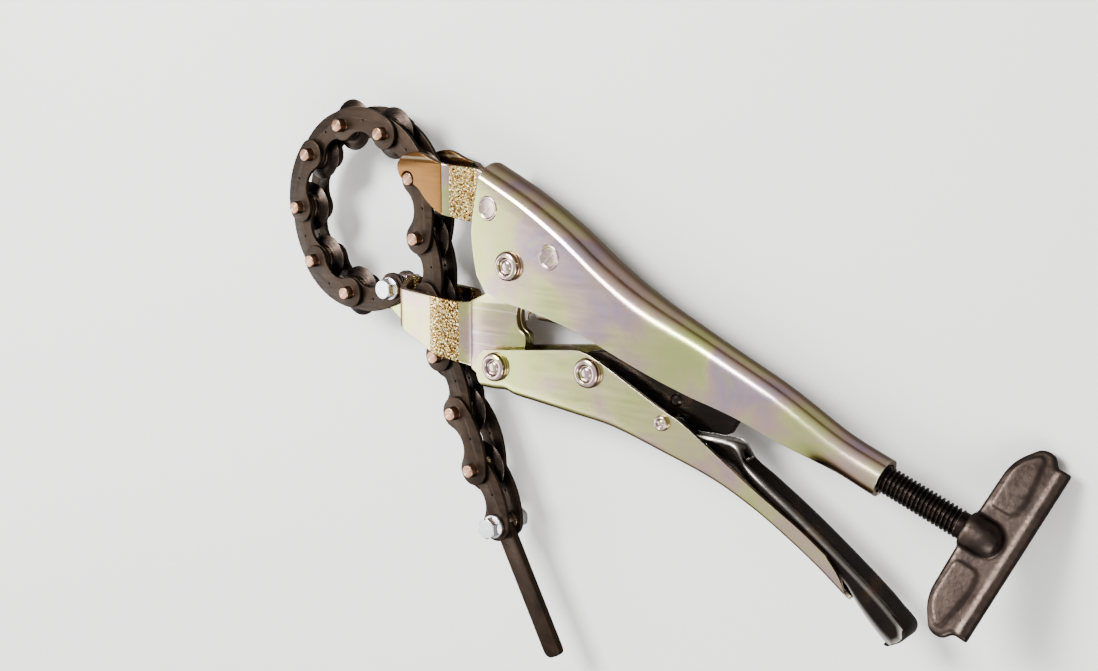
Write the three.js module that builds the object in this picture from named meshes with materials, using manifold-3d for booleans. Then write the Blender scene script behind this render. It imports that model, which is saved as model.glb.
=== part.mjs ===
// Chain-type locking pliers for cutting exhaust pipe, lying flat on one side.
// Millimetres. +Z is the hinge direction of every pivot, +X runs from the jaws to the T-handle.
// The outlines are drawn in the tool's own plane with the main pivot at the origin.
// The last lines move the whole tool so that its bounding box stands centred on the frame's origin.

import * as THREE from 'three';
import { mergeVertices } from 'three/addons/utils/BufferGeometryUtils.js';
import Module from 'manifold-3d';

const wasm = await Module();
wasm.setup();

// driving dimensions
const gap = 0.3; // between neighbouring pieces
const mainPivot = [0, 0];
const jawPivot = [-8.8, -42.7]; // lower handle on lower jaw
const togglePivot = [39, -38.6]; // toggle link on lower handle
const leverPivot = [73.9, -53.1]; // release lever on lower handle
const plugPlaces = [[-11.3, 22.4], [20.4, 5.2]]; // flush rivets that hold the upper jaw

const handleHalfWidth = 10; // upper handle at the jaws
const gripHalfWidth = 7.4; // upper handle where the hand holds it
const handleWall = 1.6;
const lowerHalfWidth = 8.2;
const lowerWall = 1.5;
const jawSheet = 2.7; // one stamped jaw plate
const jawSplit = 0.15; // half the gap between the two plates of a jaw

const pivotShank = 4.4;
const pivotHead = 6.1;
const pivotHeadHeight = 2.4;
const leverShank = 2.2;
const leverHead = 3.1;
const plugRadius = 5.2;

const pitch = 25.4; // pin to pin along the chain
const loopCentre = [-89.7, 16.5];
const loopRadius = 37.8; // to the pins
const loopLinks = 8; // links that lie on the round loop
const loopStartDeg = -60.8; // the anchor bolt seen from the loop's centre
const tailAnglesDeg = [-82, -74, -67.5, -66.6, -65]; // links that run straight down through the lower jaw
const stripAngleDeg = -61.3;
const stripLength = 60;
const stripWidth = 8.4;
const stripHalfThick = 1.8;
const linkEnd = 6.8; // radius of a link plate round its pin
const linkCrest = 9.5; // outer edge above the pin line at mid-link
const linkHollow = 1.1; // inner edge below the pin line at mid-link
const linkSheet = 1.7;
const pinRadius = 2.9;
const pinHalfLength = 11;
const bushRadius = 4.3;
const wheelRadius = 11.2;
const wheelHub = 6.6;
const anchorShank = 2.5;
const hexFlats = 8;
const hexHeight = 4;
const washerRadius = 5;
const washerThick = 1.7;

const screwAngleDeg = -21;
const screwStart = [160.5, -60.3]; // centre of the handle's rear mouth
const screwRadius = 5;
const threadPitch = 1.6;
const threadDepth = 0.9;
const noseRadius = 3.6;
const noseLength = 8;
const screwReach = 55.3; // from the rear mouth forward to the nose's end
const teeStart = 31.5; // from the rear mouth back to the T-handle
const teeWidth = 19.6;
const teeHalfLength = 35.5;
const teeThick = 5;
const teeTiltDeg = -27;
const teeBoss = 7;

const springRadius = 3.1;
const springWire = 0.9;
const springFrom = [8, -19.4];
const springTo = [60, -21.5];

// the lower jaw's tang goes between the first link's plates
const innerPlateInside = jawSplit + jawSheet + 2 * gap + 0.05;
const wheelHalfWidth = innerPlateInside - gap - 0.1;
const innerPlateOutside = innerPlateInside + linkSheet;
const outerPlateInside = innerPlateOutside + gap;
const outerPlateOutside = outerPlateInside + linkSheet;
const hookInside = outerPlateOutside + 2 * gap + 0.2; // inner face of an upper hook from the middle plane
const windowInside = pinHalfLength + gap + 0.2; // inner face of the lower jaw's bulge from the middle plane
const teeColour = 0x6d5d55;
const zinc = { color: 0xd9ddb4, roughness: 0.32, metalness: 0.85 };
const chainSteel = { color: 0x6e5645, roughness: 0.5, metalness: 0.6 };
const blackSteel = { color: 0x2c2a29, roughness: 0.45, metalness: 0.5 };
const brightSteel = { color: 0xdfe2e4, roughness: 0.25, metalness: 0.9 };
const tanSteel = { color: 0xa48e7c, roughness: 0.4, metalness: 0.7 };

const radians = THREE.MathUtils.degToRad;

// solids
function toSolid(geometry) {
  let bare = geometry.clone();
  bare.deleteAttribute('normal');
  bare.deleteAttribute('uv');
  bare = mergeVertices(bare, 1e-4);
  return new wasm.Manifold(new wasm.Mesh({
    numProp: 3,
    vertProperties: new Float32Array(bare.attributes.position.array),
    triVerts: new Uint32Array(bare.index.array),
  }));
}

function toGeometry(solid) {
  const mesh = solid.getMesh();
  const geometry = new THREE.BufferGeometry();
  geometry.setAttribute('position', new THREE.BufferAttribute(new Float32Array(mesh.vertProperties), 3));
  geometry.setIndex(new THREE.BufferAttribute(new Uint32Array(mesh.triVerts), 1));
  geometry.computeVertexNormals();
  return geometry;
}

// A closed outline of points [x, y, setback]; a setback rounds that corner.
function outline(points) {
  const shape = new THREE.Shape();
  points.forEach(([x, y, setback = 0], i) => {
    const here = new THREE.Vector2(x, y);
    const before = points[(i + points.length - 1) % points.length];
    const after = points[(i + 1) % points.length];
    const toBefore = new THREE.Vector2(before[0], before[1]).sub(here);
    const toAfter = new THREE.Vector2(after[0], after[1]).sub(here);
    const reach = Math.min(setback, 0.48 * toBefore.length(), 0.48 * toAfter.length());
    const back = toBefore.setLength(reach).add(here);
    const on = toAfter.setLength(reach).add(here);
    if (i === 0) {
      shape.moveTo(back.x, back.y);
    } else {
      shape.lineTo(back.x, back.y);
    }
    if (setback > 0) {
      shape.quadraticCurveTo(x, y, on.x, on.y);
    }
  });
  shape.closePath();
  return shape;
}

function slab(shape, low, high, curveSegments = 4) {
  const settings = { depth: high - low, bevelEnabled: false, curveSegments };
  const geometry = new THREE.ExtrudeGeometry(shape, settings);
  return toSolid(geometry.translate(0, 0, low));
}

function rod([x, y], radius, low, high, segments = 16) {
  const geometry = new THREE.CylinderGeometry(radius, radius, high - low, segments);
  return toSolid(geometry.rotateX(Math.PI / 2).translate(x, y, (low + high) / 2));
}

// A turned piece whose profile is [radius, height] along Z.
function turned([x, y], profile, segments = 16) {
  const points = profile.map(([radius, height]) => new THREE.Vector2(radius, height));
  const geometry = new THREE.LatheGeometry(points, segments).rotateX(Math.PI / 2);
  return toSolid(geometry.translate(x, y, 0));
}

// Straight lines between [x, value] knots.
function along(knots, x) {
  const last = knots.length - 1;
  if (x <= knots[0][0]) return knots[0][1];
  if (x >= knots[last][0]) return knots[last][1];
  const i = knots.findIndex((knot) => knot[0] > x);
  const [x0, v0] = knots[i - 1];
  const [x1, v1] = knots[i];
  return v0 + (v1 - v0) * (x - x0) / (x1 - x0);
}

// A long body whose cross-section changes along X: section(x) gives its outline as [y, z] points.
function lofted(stations, section) {
  const rounds = section(stations[0]).length;
  const geometry = new THREE.CylinderGeometry(1, 1, 1, rounds, stations.length - 1);
  const place = geometry.attributes.position;
  const middles = stations.map((x) => section(x).reduce((sum, p) => [sum[0] + p[0], sum[1] + p[1]], [0, 0])
    .map((total) => total / rounds));
  for (let i = 0; i < place.count; i += 1) {
    const station = Math.round((0.5 - place.getY(i)) * (stations.length - 1));
    const x = stations[station];
    const off = Math.hypot(place.getX(i), place.getZ(i));
    const turn = Math.atan2(place.getX(i), place.getZ(i)) / (2 * Math.PI);
    const k = Math.round((turn + 1) * rounds) % rounds;
    const [y, z] = off < 0.5 ? middles[station] : section(x)[k];
    place.setXYZ(i, x, y, z);
  }
  const solid = toSolid(geometry);
  return solid.volume() < 0 ? toSolid(flipped(geometry)) : solid;
}

function flipped(geometry) {
  const turnedOver = geometry.clone();
  const index = turnedOver.index.array;
  for (let i = 0; i < index.length; i += 3) {
    [index[i], index[i + 1]] = [index[i + 1], index[i]];
  }
  return turnedOver;
}

// The section of a channel: straight sides, and an arched side at y = crest.
function archSection(crest, shoulder, foot, half) {
  const steps = 8;
  const points = [[foot, half], [shoulder, half]];
  for (let i = 1; i < steps; i += 1) {
    const across = Math.cos(Math.PI * i / steps);
    const rise = Math.sqrt(1 - across * across);
    points.push([shoulder + (crest - shoulder) * rise, half * across]);
  }
  points.push([shoulder, -half], [foot, -half]);
  return points;
}

// A sheet bent along lines parallel to Y: path gives [x, inner z] knots, and the sheet is `thick`
// outside them.
function bentSheet(path, thick, side) {
  const inner = path.map(([x, z]) => [x, z * side]);
  const outer = path.map(([x, z]) => [x, (z + thick) * side]).reverse();
  const shape = outline([...inner, ...outer]);
  const geometry = new THREE.ExtrudeGeometry(shape, { depth: 200, bevelEnabled: false });
  return toSolid(geometry.rotateX(Math.PI / 2).translate(0, 100, 0));
}

function cut(solid, ...others) {
  return others.reduce((rest, other) => rest.subtract(other), solid);
}

function join(...solids) {
  return solids.reduce((all, other) => all.add(other));
}

// the scene graph
const tool = new THREE.Group();

function addPiece(name, solid, look) {
  const mesh = new THREE.Mesh(toGeometry(solid), new THREE.MeshStandardMaterial(look));
  mesh.name = name;
  tool.add(mesh);
  return mesh;
}

// chain geometry
function chainPins() {
  const step = 2 * Math.asin(pitch / 2 / loopRadius);
  const pins = [];
  for (let i = 0; i <= loopLinks; i += 1) {
    const turn = radians(loopStartDeg) - i * step;
    pins.push([
      loopCentre[0] + loopRadius * Math.cos(turn),
      loopCentre[1] + loopRadius * Math.sin(turn),
    ]);
  }
  tailAnglesDeg.forEach((angle) => {
    const [x, y] = pins[pins.length - 1];
    pins.push([x + pitch * Math.cos(radians(angle)), y + pitch * Math.sin(radians(angle))]);
  });
  return pins;
}

const pins = chainPins();
const lastPin = pins.length - 1;
const hookPin = pins[loopLinks - 1];

// upper handle
// Each list holds [x, y] knots along the handle: the ridge of its back, the line where
// the back meets the sides, and the free lower edge of the sides.
const ridge = [[-26, 45.4], [4.6, 31.2], [26.2, 18.8], [45.4, 5.6], [62.3, -4.6], [90.1, -18.2],
  [118.5, -31.2], [138.7, -39.4], [150.5, -46.4], [170, -54.5]];
const shoulderLine = [[-26, 39.9], [4.6, 25], [26.2, 11.9], [42.9, -0.1], [63.6, -13.6], [94.7, -28.6],
  [118.4, -39.2], [140.9, -48.4], [170, -60.5]];
const lowerEdge = [[-30, -9], [-13, -12], [0.4, -15.5], [32.5, -22.2], [71.3, -36.6], [95.6, -44.2],
  [126, -54], [149.5, -62.6], [170, -70]];
const halfWidth = [[58, handleHalfWidth], [97, gripHalfWidth]];
const handleStations = [-26, 4.6, 26.2, 44.7, 58, 71, 84, 97, 118.5, 138.7, 150.5, 170];

function handleBody(inset, footDrop) {
  return lofted(handleStations, (x) => archSection(
    along(ridge, x) - inset,
    along(shoulderLine, x) - inset / 2,
    along(lowerEdge, x) - footDrop,
    along(halfWidth, x) - inset,
  ));
}

function aboutScrew(geometry) {
  return geometry.rotateZ(radians(screwAngleDeg)).translate(screwStart[0], screwStart[1], 0);
}

// A cylinder on the screw's axis, from one distance behind the rear mouth to another.
function screwRod(radius, from, to, segments = 20) {
  const geometry = new THREE.CylinderGeometry(radius, radius, to - from, segments);
  return toSolid(aboutScrew(geometry.rotateZ(-Math.PI / 2).translate((from + to) / 2, 0, 0)));
}

function upperHandle() {
  const side = slab(outline([
    [-15.2, 48], [-16, 36, 3], [-20.2, 13, 8], [-17.6, -5, 4], [-12.5, -12.4, 3], [0.4, -15.5, 4],
    [32.5, -22.2, 9], [71.3, -36.6, 8], [95.6, -44.2, 6], [126, -54], [149.5, -62.6], [163, -75], [190, 0],
  ]), -15, 15);
  const rearLength = 14;
  const behind = new THREE.BoxGeometry(40, 80, 40).translate(20, 0, 0);
  const beforeTube = new THREE.BoxGeometry(240, 160, 40).translate(-120 - rearLength, 0, 0);
  const hollow = handleBody(handleWall, 8).intersect(toSolid(aboutScrew(beforeTube)));
  const holes = [
    rod(mainPivot, pivotShank + gap, -20, 20),
    ...plugPlaces.map((place) => rod(place, plugRadius + gap, -20, 20)),
  ];
  const shell = cut(handleBody(0, 0).intersect(side), hollow, ...holes);
  const tube = screwRod(gripHalfWidth - 0.3, -rearLength - 3, 4, 20);
  const bore = screwRod(screwRadius + gap, -rearLength - 6, 6, 20);
  return cut(join(shell, tube), toSolid(aboutScrew(behind)), bore);
}

addPiece('upper_handle', upperHandle(), zinc);

// upper jaw: two stamped plates whose hooks straddle the chain
function upperJawOutline() {
  const notch = pinRadius + 0.45;
  const shape = outline([
    [-22, 37.2, 1], [-38, 39.6, 6], [-49.5, 44.4, 8], [-58.6, 42, 4], [-62, 37.4, 3], [-59.6, 32.6, 0.8],
    [-58.4, 33.1], [-55.3, 33], [-51.9, 32.6], [-49.4, 29, 3], [-45.6, 24.4, 4], [-39.4, 19.6, 5],
    [-27.5, 15.4, 4],
    [-14.4, 15.4, 3], [-13.4, 7.6, 4], [0, 13.4, 9], [13.4, 3, 5], [15, -2.4, 3], [28, -4, 4],
    [28.6, 7.4, 5], [0, 25, 8],
  ]);
  return { shape, notch };
}

function upperJawPlate(side) {
  const bend = [[-70, hookInside], [-34.6, hookInside], [-23.4, jawSplit], [40, jawSplit]];
  const { shape, notch } = upperJawOutline();
  return cut(
    slab(shape, -16, 16).intersect(bentSheet(bend, jawSheet, side)),
    rod(hookPin, notch, -20, 20, 24),
    rod(mainPivot, 12.4, -20, 20, 32),
    ...plugPlaces.map((place) => rod(place, plugRadius + gap, -20, 20)),
  );
}

addPiece('upper_jaw_plate_near', upperJawPlate(1), zinc);
addPiece('upper_jaw_plate_far', upperJawPlate(-1), zinc);

// lower jaw: two plates that bulge round the hanging chain and meet again in front
function lowerJawOutline() {
  const [x, y] = pins[0];
  return outline([
    [x + 1, y + 6.4, 5], [x - 7.4, y + 4, 5], [x - 8.4, y - 6, 5], [-67, -31.4, 1.5], [-57, -30.2, 1],
    [-54.8, -32.6, 2.5], [-43.4, -37.4, 4], [-36.6, -41.6, 3], [-28.4, -46.2, 4], [-16.5, -52.4, 6],
    [-1.4, -52, 7], [0.4, -40, 4], [2.6, -35, 2], [2.6, -28.8, 1.5], [-1.4, -26.6, 2.4],
    [-2.4, -22, 2.4], [-1.6, -17, 2], [6, -15.6, 3], [11.8, -4, 7], [7, 11, 7], [-7, 11, 7],
    [-12.6, 0, 6], [-17, -13, 4], [-30, -19, 4],
    [-38.3, -15.6, 2], [-56.2, -14.2, 2], [-62, -11, 3],
  ]);
}

function lowerJawPlate(side) {
  // the front bend starts where the plate's outer face still clears the first link's plates
  const flatFrom = -56.8;
  const linkReach = pins[0][0] + linkEnd;
  const slope = (windowInside - jawSplit) / (flatFrom - linkReach);
  const bendFrom = linkReach - (innerPlateInside - gap - jawSplit - jawSheet) / slope;
  const bend = [[-90, jawSplit], [bendFrom, jawSplit], [flatFrom, windowInside], [-37.6, windowInside],
    [-28.6, jawSplit], [30, jawSplit]];
  return cut(
    slab(lowerJawOutline(), -18, 18).intersect(bentSheet(bend, jawSheet, side)),
    rod(mainPivot, pivotShank + gap, -20, 20),
    rod(jawPivot, pivotShank + gap, -20, 20),
    rod(pins[0], anchorShank + gap, -20, 20, 16),
  );
}

addPiece('lower_jaw_plate_near', lowerJawPlate(1), zinc);
addPiece('lower_jaw_plate_far', lowerJawPlate(-1), zinc);

// rivets
// A semi-tubular rivet: a plain head with a ring groove round its centre on both ends.
function rivet(place, shank, head, height, wallOutside) {
  const seat = wallOutside + gap;
  const top = seat + height;
  const half = [
    [shank, seat], [head, seat], [head, seat + height * 0.45], [head * 0.78, top], [head * 0.56, top],
    [head * 0.46, top - height * 0.45], [head * 0.3, top - height * 0.3], [0, top - height * 0.3],
  ];
  const mirrored = half.map(([radius, z]) => [radius, -z]).reverse();
  return turned(place, [...mirrored, ...half]);
}

addPiece('main_pivot_rivet', rivet(mainPivot, pivotShank, pivotHead, pivotHeadHeight, handleHalfWidth), zinc);
addPiece('jaw_pivot_rivet', rivet(jawPivot, pivotShank, pivotHead, pivotHeadHeight, lowerHalfWidth), zinc);
addPiece('toggle_pivot_rivet', rivet(togglePivot, pivotShank, pivotHead, pivotHeadHeight, lowerHalfWidth),
  zinc);
addPiece('lever_pivot_rivet', rivet(leverPivot, leverShank, leverHead, 1.4, lowerHalfWidth), zinc);
plugPlaces.forEach((place, i) => {
  const end = handleHalfWidth + 0.3;
  const profile = [[0, -end], [plugRadius - 0.6, -end], [plugRadius, -end + 0.6], [plugRadius, end - 0.6],
    [plugRadius - 0.6, end], [0, end]];
  addPiece(`jaw_plug_${i + 1}`, turned(place, profile), zinc);
});

// lower handle: a channel that opens towards the upper handle
const lowerWeb = [[-26, -52.5], [-4.1, -52.4], [0.4, -53.8], [33.2, -56.9], [50.1, -58.6], [73.3, -64.9],
  [96.6, -71.7], [113.7, -79.2], [127.1, -86.8], [140.2, -95.2], [149, -101.8], [156, -107]];
const lowerTop = [[-26, -38], [-14.1, -36.3], [30.6, -30.8], [36.2, -30.9], [44.9, -34.2], [73, -47.9],
  [82.8, -52], [97.5, -61.4], [110.1, -69.2], [133.4, -83], [145.2, -91], [156, -98]];
const lowerStations = [-26, 0.4, 33.2, 50.1, 73.3, 96.6, 113.7, 127.1, 140.2, 149, 156];

function lowerHandle() {
  const webHollow = 2.4; // height of the rounded web below the straight sides
  const body = (inset, rise) => lofted(lowerStations, (x) => archSection(
    along(lowerWeb, x) + inset,
    along(lowerWeb, x) + webHollow + inset / 2,
    along(lowerTop, x) + rise,
    lowerHalfWidth - inset,
  ));
  const side = slab(outline([
    [-20, -37.6, 4], [-18, -52.6, 6], [-4, -52.4, 1], [0.4, -53.8, 1], [20, -60], [150, -112],
    [151.6, -101, 4], [145, -90.6, 3], [133.4, -83], [110.1, -69.2], [97.5, -61.4, 4], [82.8, -52, 4],
    [73, -47.9, 3], [44.9, -34.2, 6], [34.4, -30.2, 4], [-14.1, -36.3, 3],
  ]), -12, 12);
  // the web starts behind the jaw's tang, so the front of the handle is two separate cheeks
  const tangRoom = slab(outline([[-40, -70], [2, -70], [2, -20], [-40, -20]]), -lowerHalfWidth + lowerWall,
    lowerHalfWidth - lowerWall);
  return cut(
    body(0, 6).intersect(side),
    body(lowerWall, 12),
    tangRoom,
    rod(jawPivot, pivotShank + gap, -20, 20),
    rod(togglePivot, pivotShank + gap, -20, 20),
    rod(leverPivot, leverShank + gap, -20, 20, 16),
  );
}

addPiece('lower_handle', lowerHandle(), zinc);

// toggle link
function toggleLink() {
  const [x, y] = togglePivot;
  const shape = outline([
    [x - 7.6, y + 7, 6], [x - 7.6, y - 7.6, 6], [x + 10, y - 8.2, 6], [69, -49.8, 3], [79, -50.2, 3],
    [86, -54.6, 3], [99, -55, 1],
    [102.2, -49.6], [107.4, -40.2], [109, -37.2, 1], [96, -33.4, 5], [60, -31.2, 8], [x + 6, y + 8.2, 5],
  ]);
  const halfThick = 2.25;
  const boss = turned([76.2, -45], [[0, -halfThick - 1.2], [1.6, -halfThick - 1.2], [2.6, -halfThick],
    [2.6, halfThick], [1.6, halfThick + 1.2], [0, halfThick + 1.2]], 14);
  return cut(join(slab(shape, -halfThick, halfThick), boss), rod(togglePivot, pivotShank + gap, -20, 20));
}

addPiece('toggle_link', toggleLink(), blackSteel);

// release lever
const leverTop = [[66, -56.5], [86, -55.6], [104, -57], [107, -63.4], [116, -68.2], [137, -82], [155, -95],
  [168.4, -105.8], [174, -112]];
const leverFoot = [[66, -58.6], [86, -60.8], [104, -67], [116, -75], [137, -89], [152.5, -99.4],
  [155, -106.4], [166.5, -117], [174, -124]];
const leverHalf = [[66, 3.4], [100, 3.9], [116, 6], [174, 6.2]];
const leverStations = [66, 76, 86, 96, 104, 107, 116, 126, 137, 146, 152.5, 155, 161, 168.4, 174];
const leverWall = 1.3;

function releaseLever() {
  const body = (inset, drop) => lofted(leverStations, (x) => archSection(
    along(leverTop, x) - inset,
    along(leverTop, x) - 2.2 - inset / 2,
    along(leverFoot, x) - drop,
    along(leverHalf, x) - inset,
  ));
  const side = slab(outline([
    [66, -50, 1], [66, -60, 2], [100, -72], [152, -112], [166.2, -118.4, 2], [172.6, -113.6, 4],
    [173.8, -105, 4],
    [168, -99], [116, -55], [104, -52],
  ]), -10, 10);
  const ear = slab(outline([[67.5, -50.4, 3], [67.5, -57, 2], [84, -61], [80.2, -50, 3]]), -3.4, 3.4);
  const slotHalf = 2.25 + 2 * gap;
  const linkRoom = slab(outline([[50, -57], [106, -68], [112, -40], [50, -40]]), -slotHalf, slotHalf);
  const channel = cut(body(0, 0), body(leverWall, 6)).intersect(side);
  return cut(join(channel, ear), linkRoom, rod(leverPivot, leverShank + gap, -20, 20, 16));
}

addPiece('release_lever', releaseLever(), blackSteel);

// adjusting screw and T-handle
function screwNose() {
  const profile = [[0, -screwReach], [noseRadius - 1.4, -screwReach], [noseRadius, -screwReach + 1.4],
    [noseRadius, -screwReach + noseLength], [0, -screwReach + noseLength]];
  const points = profile.map(([radius, s]) => new THREE.Vector2(radius, s));
  return toSolid(aboutScrew(new THREE.LatheGeometry(points, 16).rotateZ(-Math.PI / 2)));
}

function adjustingScrew() {
  const from = -screwReach + noseLength + gap;
  const to = teeStart - gap;
  const points = [new THREE.Vector2(0, from), new THREE.Vector2(screwRadius, from),
    new THREE.Vector2(screwRadius, -1), new THREE.Vector2(screwRadius - threadDepth, 0)];
  for (let s = 0; s < to - threadPitch; s += threadPitch) {
    points.push(new THREE.Vector2(screwRadius, s + threadPitch / 2));
    points.push(new THREE.Vector2(screwRadius - threadDepth, s + threadPitch));
  }
  points.push(new THREE.Vector2(screwRadius - threadDepth, to), new THREE.Vector2(0, to));
  return toSolid(aboutScrew(new THREE.LatheGeometry(points, 10).rotateZ(-Math.PI / 2)));
}

function teeHandle() {
  const near = teeStart + 0.6;
  const far = teeStart + teeWidth;
  const lip = 4.4;
  const wing = new THREE.ExtrudeGeometry(outline([
    [near + 0.6, -teeHalfLength + 9, 7], [near + 7, -teeHalfLength, 6], [far - lip, -teeHalfLength, 2],
    [far - lip, -teeHalfLength + 3], [far, -teeHalfLength + 3, 2], [far, teeHalfLength - 3, 2],
    [far - lip, teeHalfLength - 3], [far - lip, teeHalfLength, 2], [near + 7, teeHalfLength, 6],
    [near + 0.6, teeHalfLength - 9, 7], [near, 0, 8],
  ]), { depth: teeThick, bevelEnabled: false, curveSegments: 4 }).translate(0, 0, -teeThick / 2);
  const bead = new THREE.CylinderGeometry(2.9, 2.9, 2 * teeHalfLength - 7, 12).translate(far - 2.9, 0, 0);
  const bossProfile = [[0, teeStart], [teeBoss - 1.4, teeStart], [teeBoss, teeStart + 1.6],
    [teeBoss, teeStart + 9], [teeBoss * 0.8, teeStart + 12.4], [teeBoss * 0.4, teeStart + 14],
    [0, teeStart + 14.4]]
    .map(([radius, s]) => new THREE.Vector2(radius, s));
  const boss = new THREE.LatheGeometry(bossProfile, 20).rotateZ(-Math.PI / 2);
  const place = (geometry) => toSolid(aboutScrew(geometry.rotateX(radians(teeTiltDeg))));
  return join(place(wing), place(bead), place(boss));
}

addPiece('screw_nose', screwNose(), blackSteel);
addPiece('adjusting_screw', adjustingScrew(), blackSteel);
addPiece('t_handle', teeHandle(), { color: teeColour, roughness: 0.5, metalness: 0.75 });

// return spring: a closed coil with a hook at each end
function returnSpring() {
  const [x0, y0] = springFrom;
  const [x1, y1] = springTo;
  const lean = Math.atan2(y1 - y0, x1 - x0);
  const coilLength = Math.hypot(x1 - x0, y1 - y0);
  const coil = new THREE.CylinderGeometry(springRadius, springRadius, coilLength, 16)
    .rotateZ(Math.PI / 2 + lean).translate((x0 + x1) / 2, (y0 + y1) / 2, 0);
  const hook = (points) => {
    const path = new THREE.CatmullRomCurve3(points.map(([x, y, z]) => new THREE.Vector3(x, y, z)));
    const wire = new THREE.Shape().absarc(0, 0, springWire, 0, 2 * Math.PI);
    return toSolid(new THREE.ExtrudeGeometry(wire, { steps: 10, extrudePath: path, curveSegments: 3 }));
  };
  return join(
    toSolid(coil),
    hook([[x0 + 2, y0, 0], [x0 - 3, y0 + 0.8, 0], [x0 - 7, y0 - 0.6, 0], [x0 - 8.9, y0 - 3.4, 0]]),
    hook([[x1 - 2, y1, 0], [x1 + 3, y1 + 1, 0], [x1 + 5, y1 + 5, 0], [x1 + 4, y1 + 8, 0]]),
  );
}

addPiece('return_spring', returnSpring(), brightSteel);

// chain
// A link plate in its own frame: the first pin at the origin, the next at [pitch, 0],
// with the loop's outside towards +Y. Both long edges are arcs tangent to the two end circles.
function linkPlateShape(holeRadius) {
  const half = pitch / 2;
  const crestCentre = (half * half - (linkCrest - linkEnd) ** 2) / (2 * (linkEnd - linkCrest));
  const crestRadius = linkCrest - crestCentre;
  const hollowReach = linkEnd - linkHollow;
  const hollowCentre = (hollowReach ** 2 - half * half) / (2 * hollowReach);
  const hollowRadius = -linkHollow - hollowCentre;
  const crestTurn = Math.atan2(half, -crestCentre);
  const hollowTurn = Math.atan2(-hollowCentre, half);
  const shape = new THREE.Shape();
  shape.absarc(half, crestCentre, crestRadius, Math.PI / 2 + crestTurn, Math.PI / 2 - crestTurn, true);
  shape.absarc(pitch, 0, linkEnd, Math.PI / 2 - crestTurn, hollowTurn - Math.PI, true);
  shape.absarc(half, hollowCentre, hollowRadius, hollowTurn, Math.PI - hollowTurn, false);
  shape.absarc(0, 0, linkEnd, -hollowTurn, crestTurn + Math.PI / 2 - 2 * Math.PI, true);
  [0, pitch].forEach((x) => {
    if (holeRadius > 0) {
      const hole = new THREE.Path().absarc(x, 0, holeRadius, 0, 2 * Math.PI, false);
      shape.holes.push(hole);
    }
  });
  return shape;
}

function placeLink(solid, index) {
  const [x0, y0] = pins[index];
  const [x1, y1] = pins[index + 1];
  return solid.rotate([0, 0, THREE.MathUtils.radToDeg(Math.atan2(y1 - y0, x1 - x0))]).translate([x0, y0, 0]);
}

function linkPlates(holeRadius, inside) {
  const plate = slab(linkPlateShape(holeRadius), inside, inside + linkSheet, 4);
  return [plate, plate.mirror([0, 0, 1])];
}

// Inner links turn on the pins by two bushes; the end links have one, where a bolt takes the other's place.
function innerLink(bushPlaces) {
  const hole = pinRadius + gap;
  const bushes = bushPlaces.map((x) => cut(
    rod([x, 0], bushRadius, -innerPlateInside - 0.5, innerPlateInside + 0.5, 10),
    rod([x, 0], hole, -9, 9, 10),
  ));
  const holes = [0, pitch].map((x) => rod([x, 0], hole, -9, 9, 10));
  return join(cut(join(...linkPlates(0, innerPlateInside)), ...holes), ...bushes);
}

function outerLink() {
  const pinRods = [0, pitch].map((x) => rod([x, 0], pinRadius, -pinHalfLength, pinHalfLength, 10));
  return join(...linkPlates(0, outerPlateInside), ...pinRods);
}

function cuttingWheel(place) {
  const bore = bushRadius + gap;
  return turned(place, [[bore, -wheelHalfWidth], [wheelHub, -wheelHalfWidth], [wheelHub + 0.6, -1.6],
    [wheelRadius, 0], [wheelHub + 0.6, 1.6], [wheelHub, wheelHalfWidth],
    [bore, wheelHalfWidth], [bore, -wheelHalfWidth]], 18);
}

for (let i = 0; i < lastPin; i += 1) {
  let link = outerLink();
  if (i % 2 === 0) {
    const bushPlaces = [0, pitch].filter((x) => !(i === 0 && x === 0) && !(i === lastPin - 1 && x === pitch));
    link = innerLink(bushPlaces);
  }
  addPiece(`chain_link_${i + 1}`, placeLink(link, i), chainSteel);
}
for (let i = 1; i < lastPin; i += 1) {
  addPiece(`cutting_wheel_${i}`, cuttingWheel(pins[i]), tanSteel);
}

// bolts at the two ends of the chain
function hexPrism([x, y], low, high) {
  const corner = hexFlats / 2 / Math.cos(Math.PI / 6);
  const geometry = new THREE.CylinderGeometry(corner, corner, high - low, 6);
  return toSolid(geometry.rotateX(Math.PI / 2).rotateZ(Math.PI / 6).translate(x, y, (low + high) / 2));
}

function boltParts(place, plateOutside, name) {
  const washerTop = plateOutside + gap + washerThick;
  const headTop = washerTop + hexHeight;
  const shankEnd = -washerTop - gap - hexHeight - 1.4;
  const washer = rod(place, washerRadius, plateOutside + gap, washerTop + 0.1, 18);
  const shank = rod(place, anchorShank, shankEnd, headTop - 1, 14);
  const bolt = join(hexPrism(place, washerTop, headTop), washer, shank);
  const nut = cut(
    join(hexPrism(place, -washerTop - gap - hexHeight, -washerTop), rod(place, washerRadius, -washerTop - 0.1,
      -plateOutside - gap, 18)),
    rod(place, anchorShank + gap, -30, 30, 14),
  );
  addPiece(`${name}_bolt`, bolt, brightSteel);
  addPiece(`${name}_nut`, nut, brightSteel);
}

boltParts(pins[0], innerPlateOutside, 'anchor');
boltParts(pins[lastPin], innerPlateOutside, 'tail');

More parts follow.
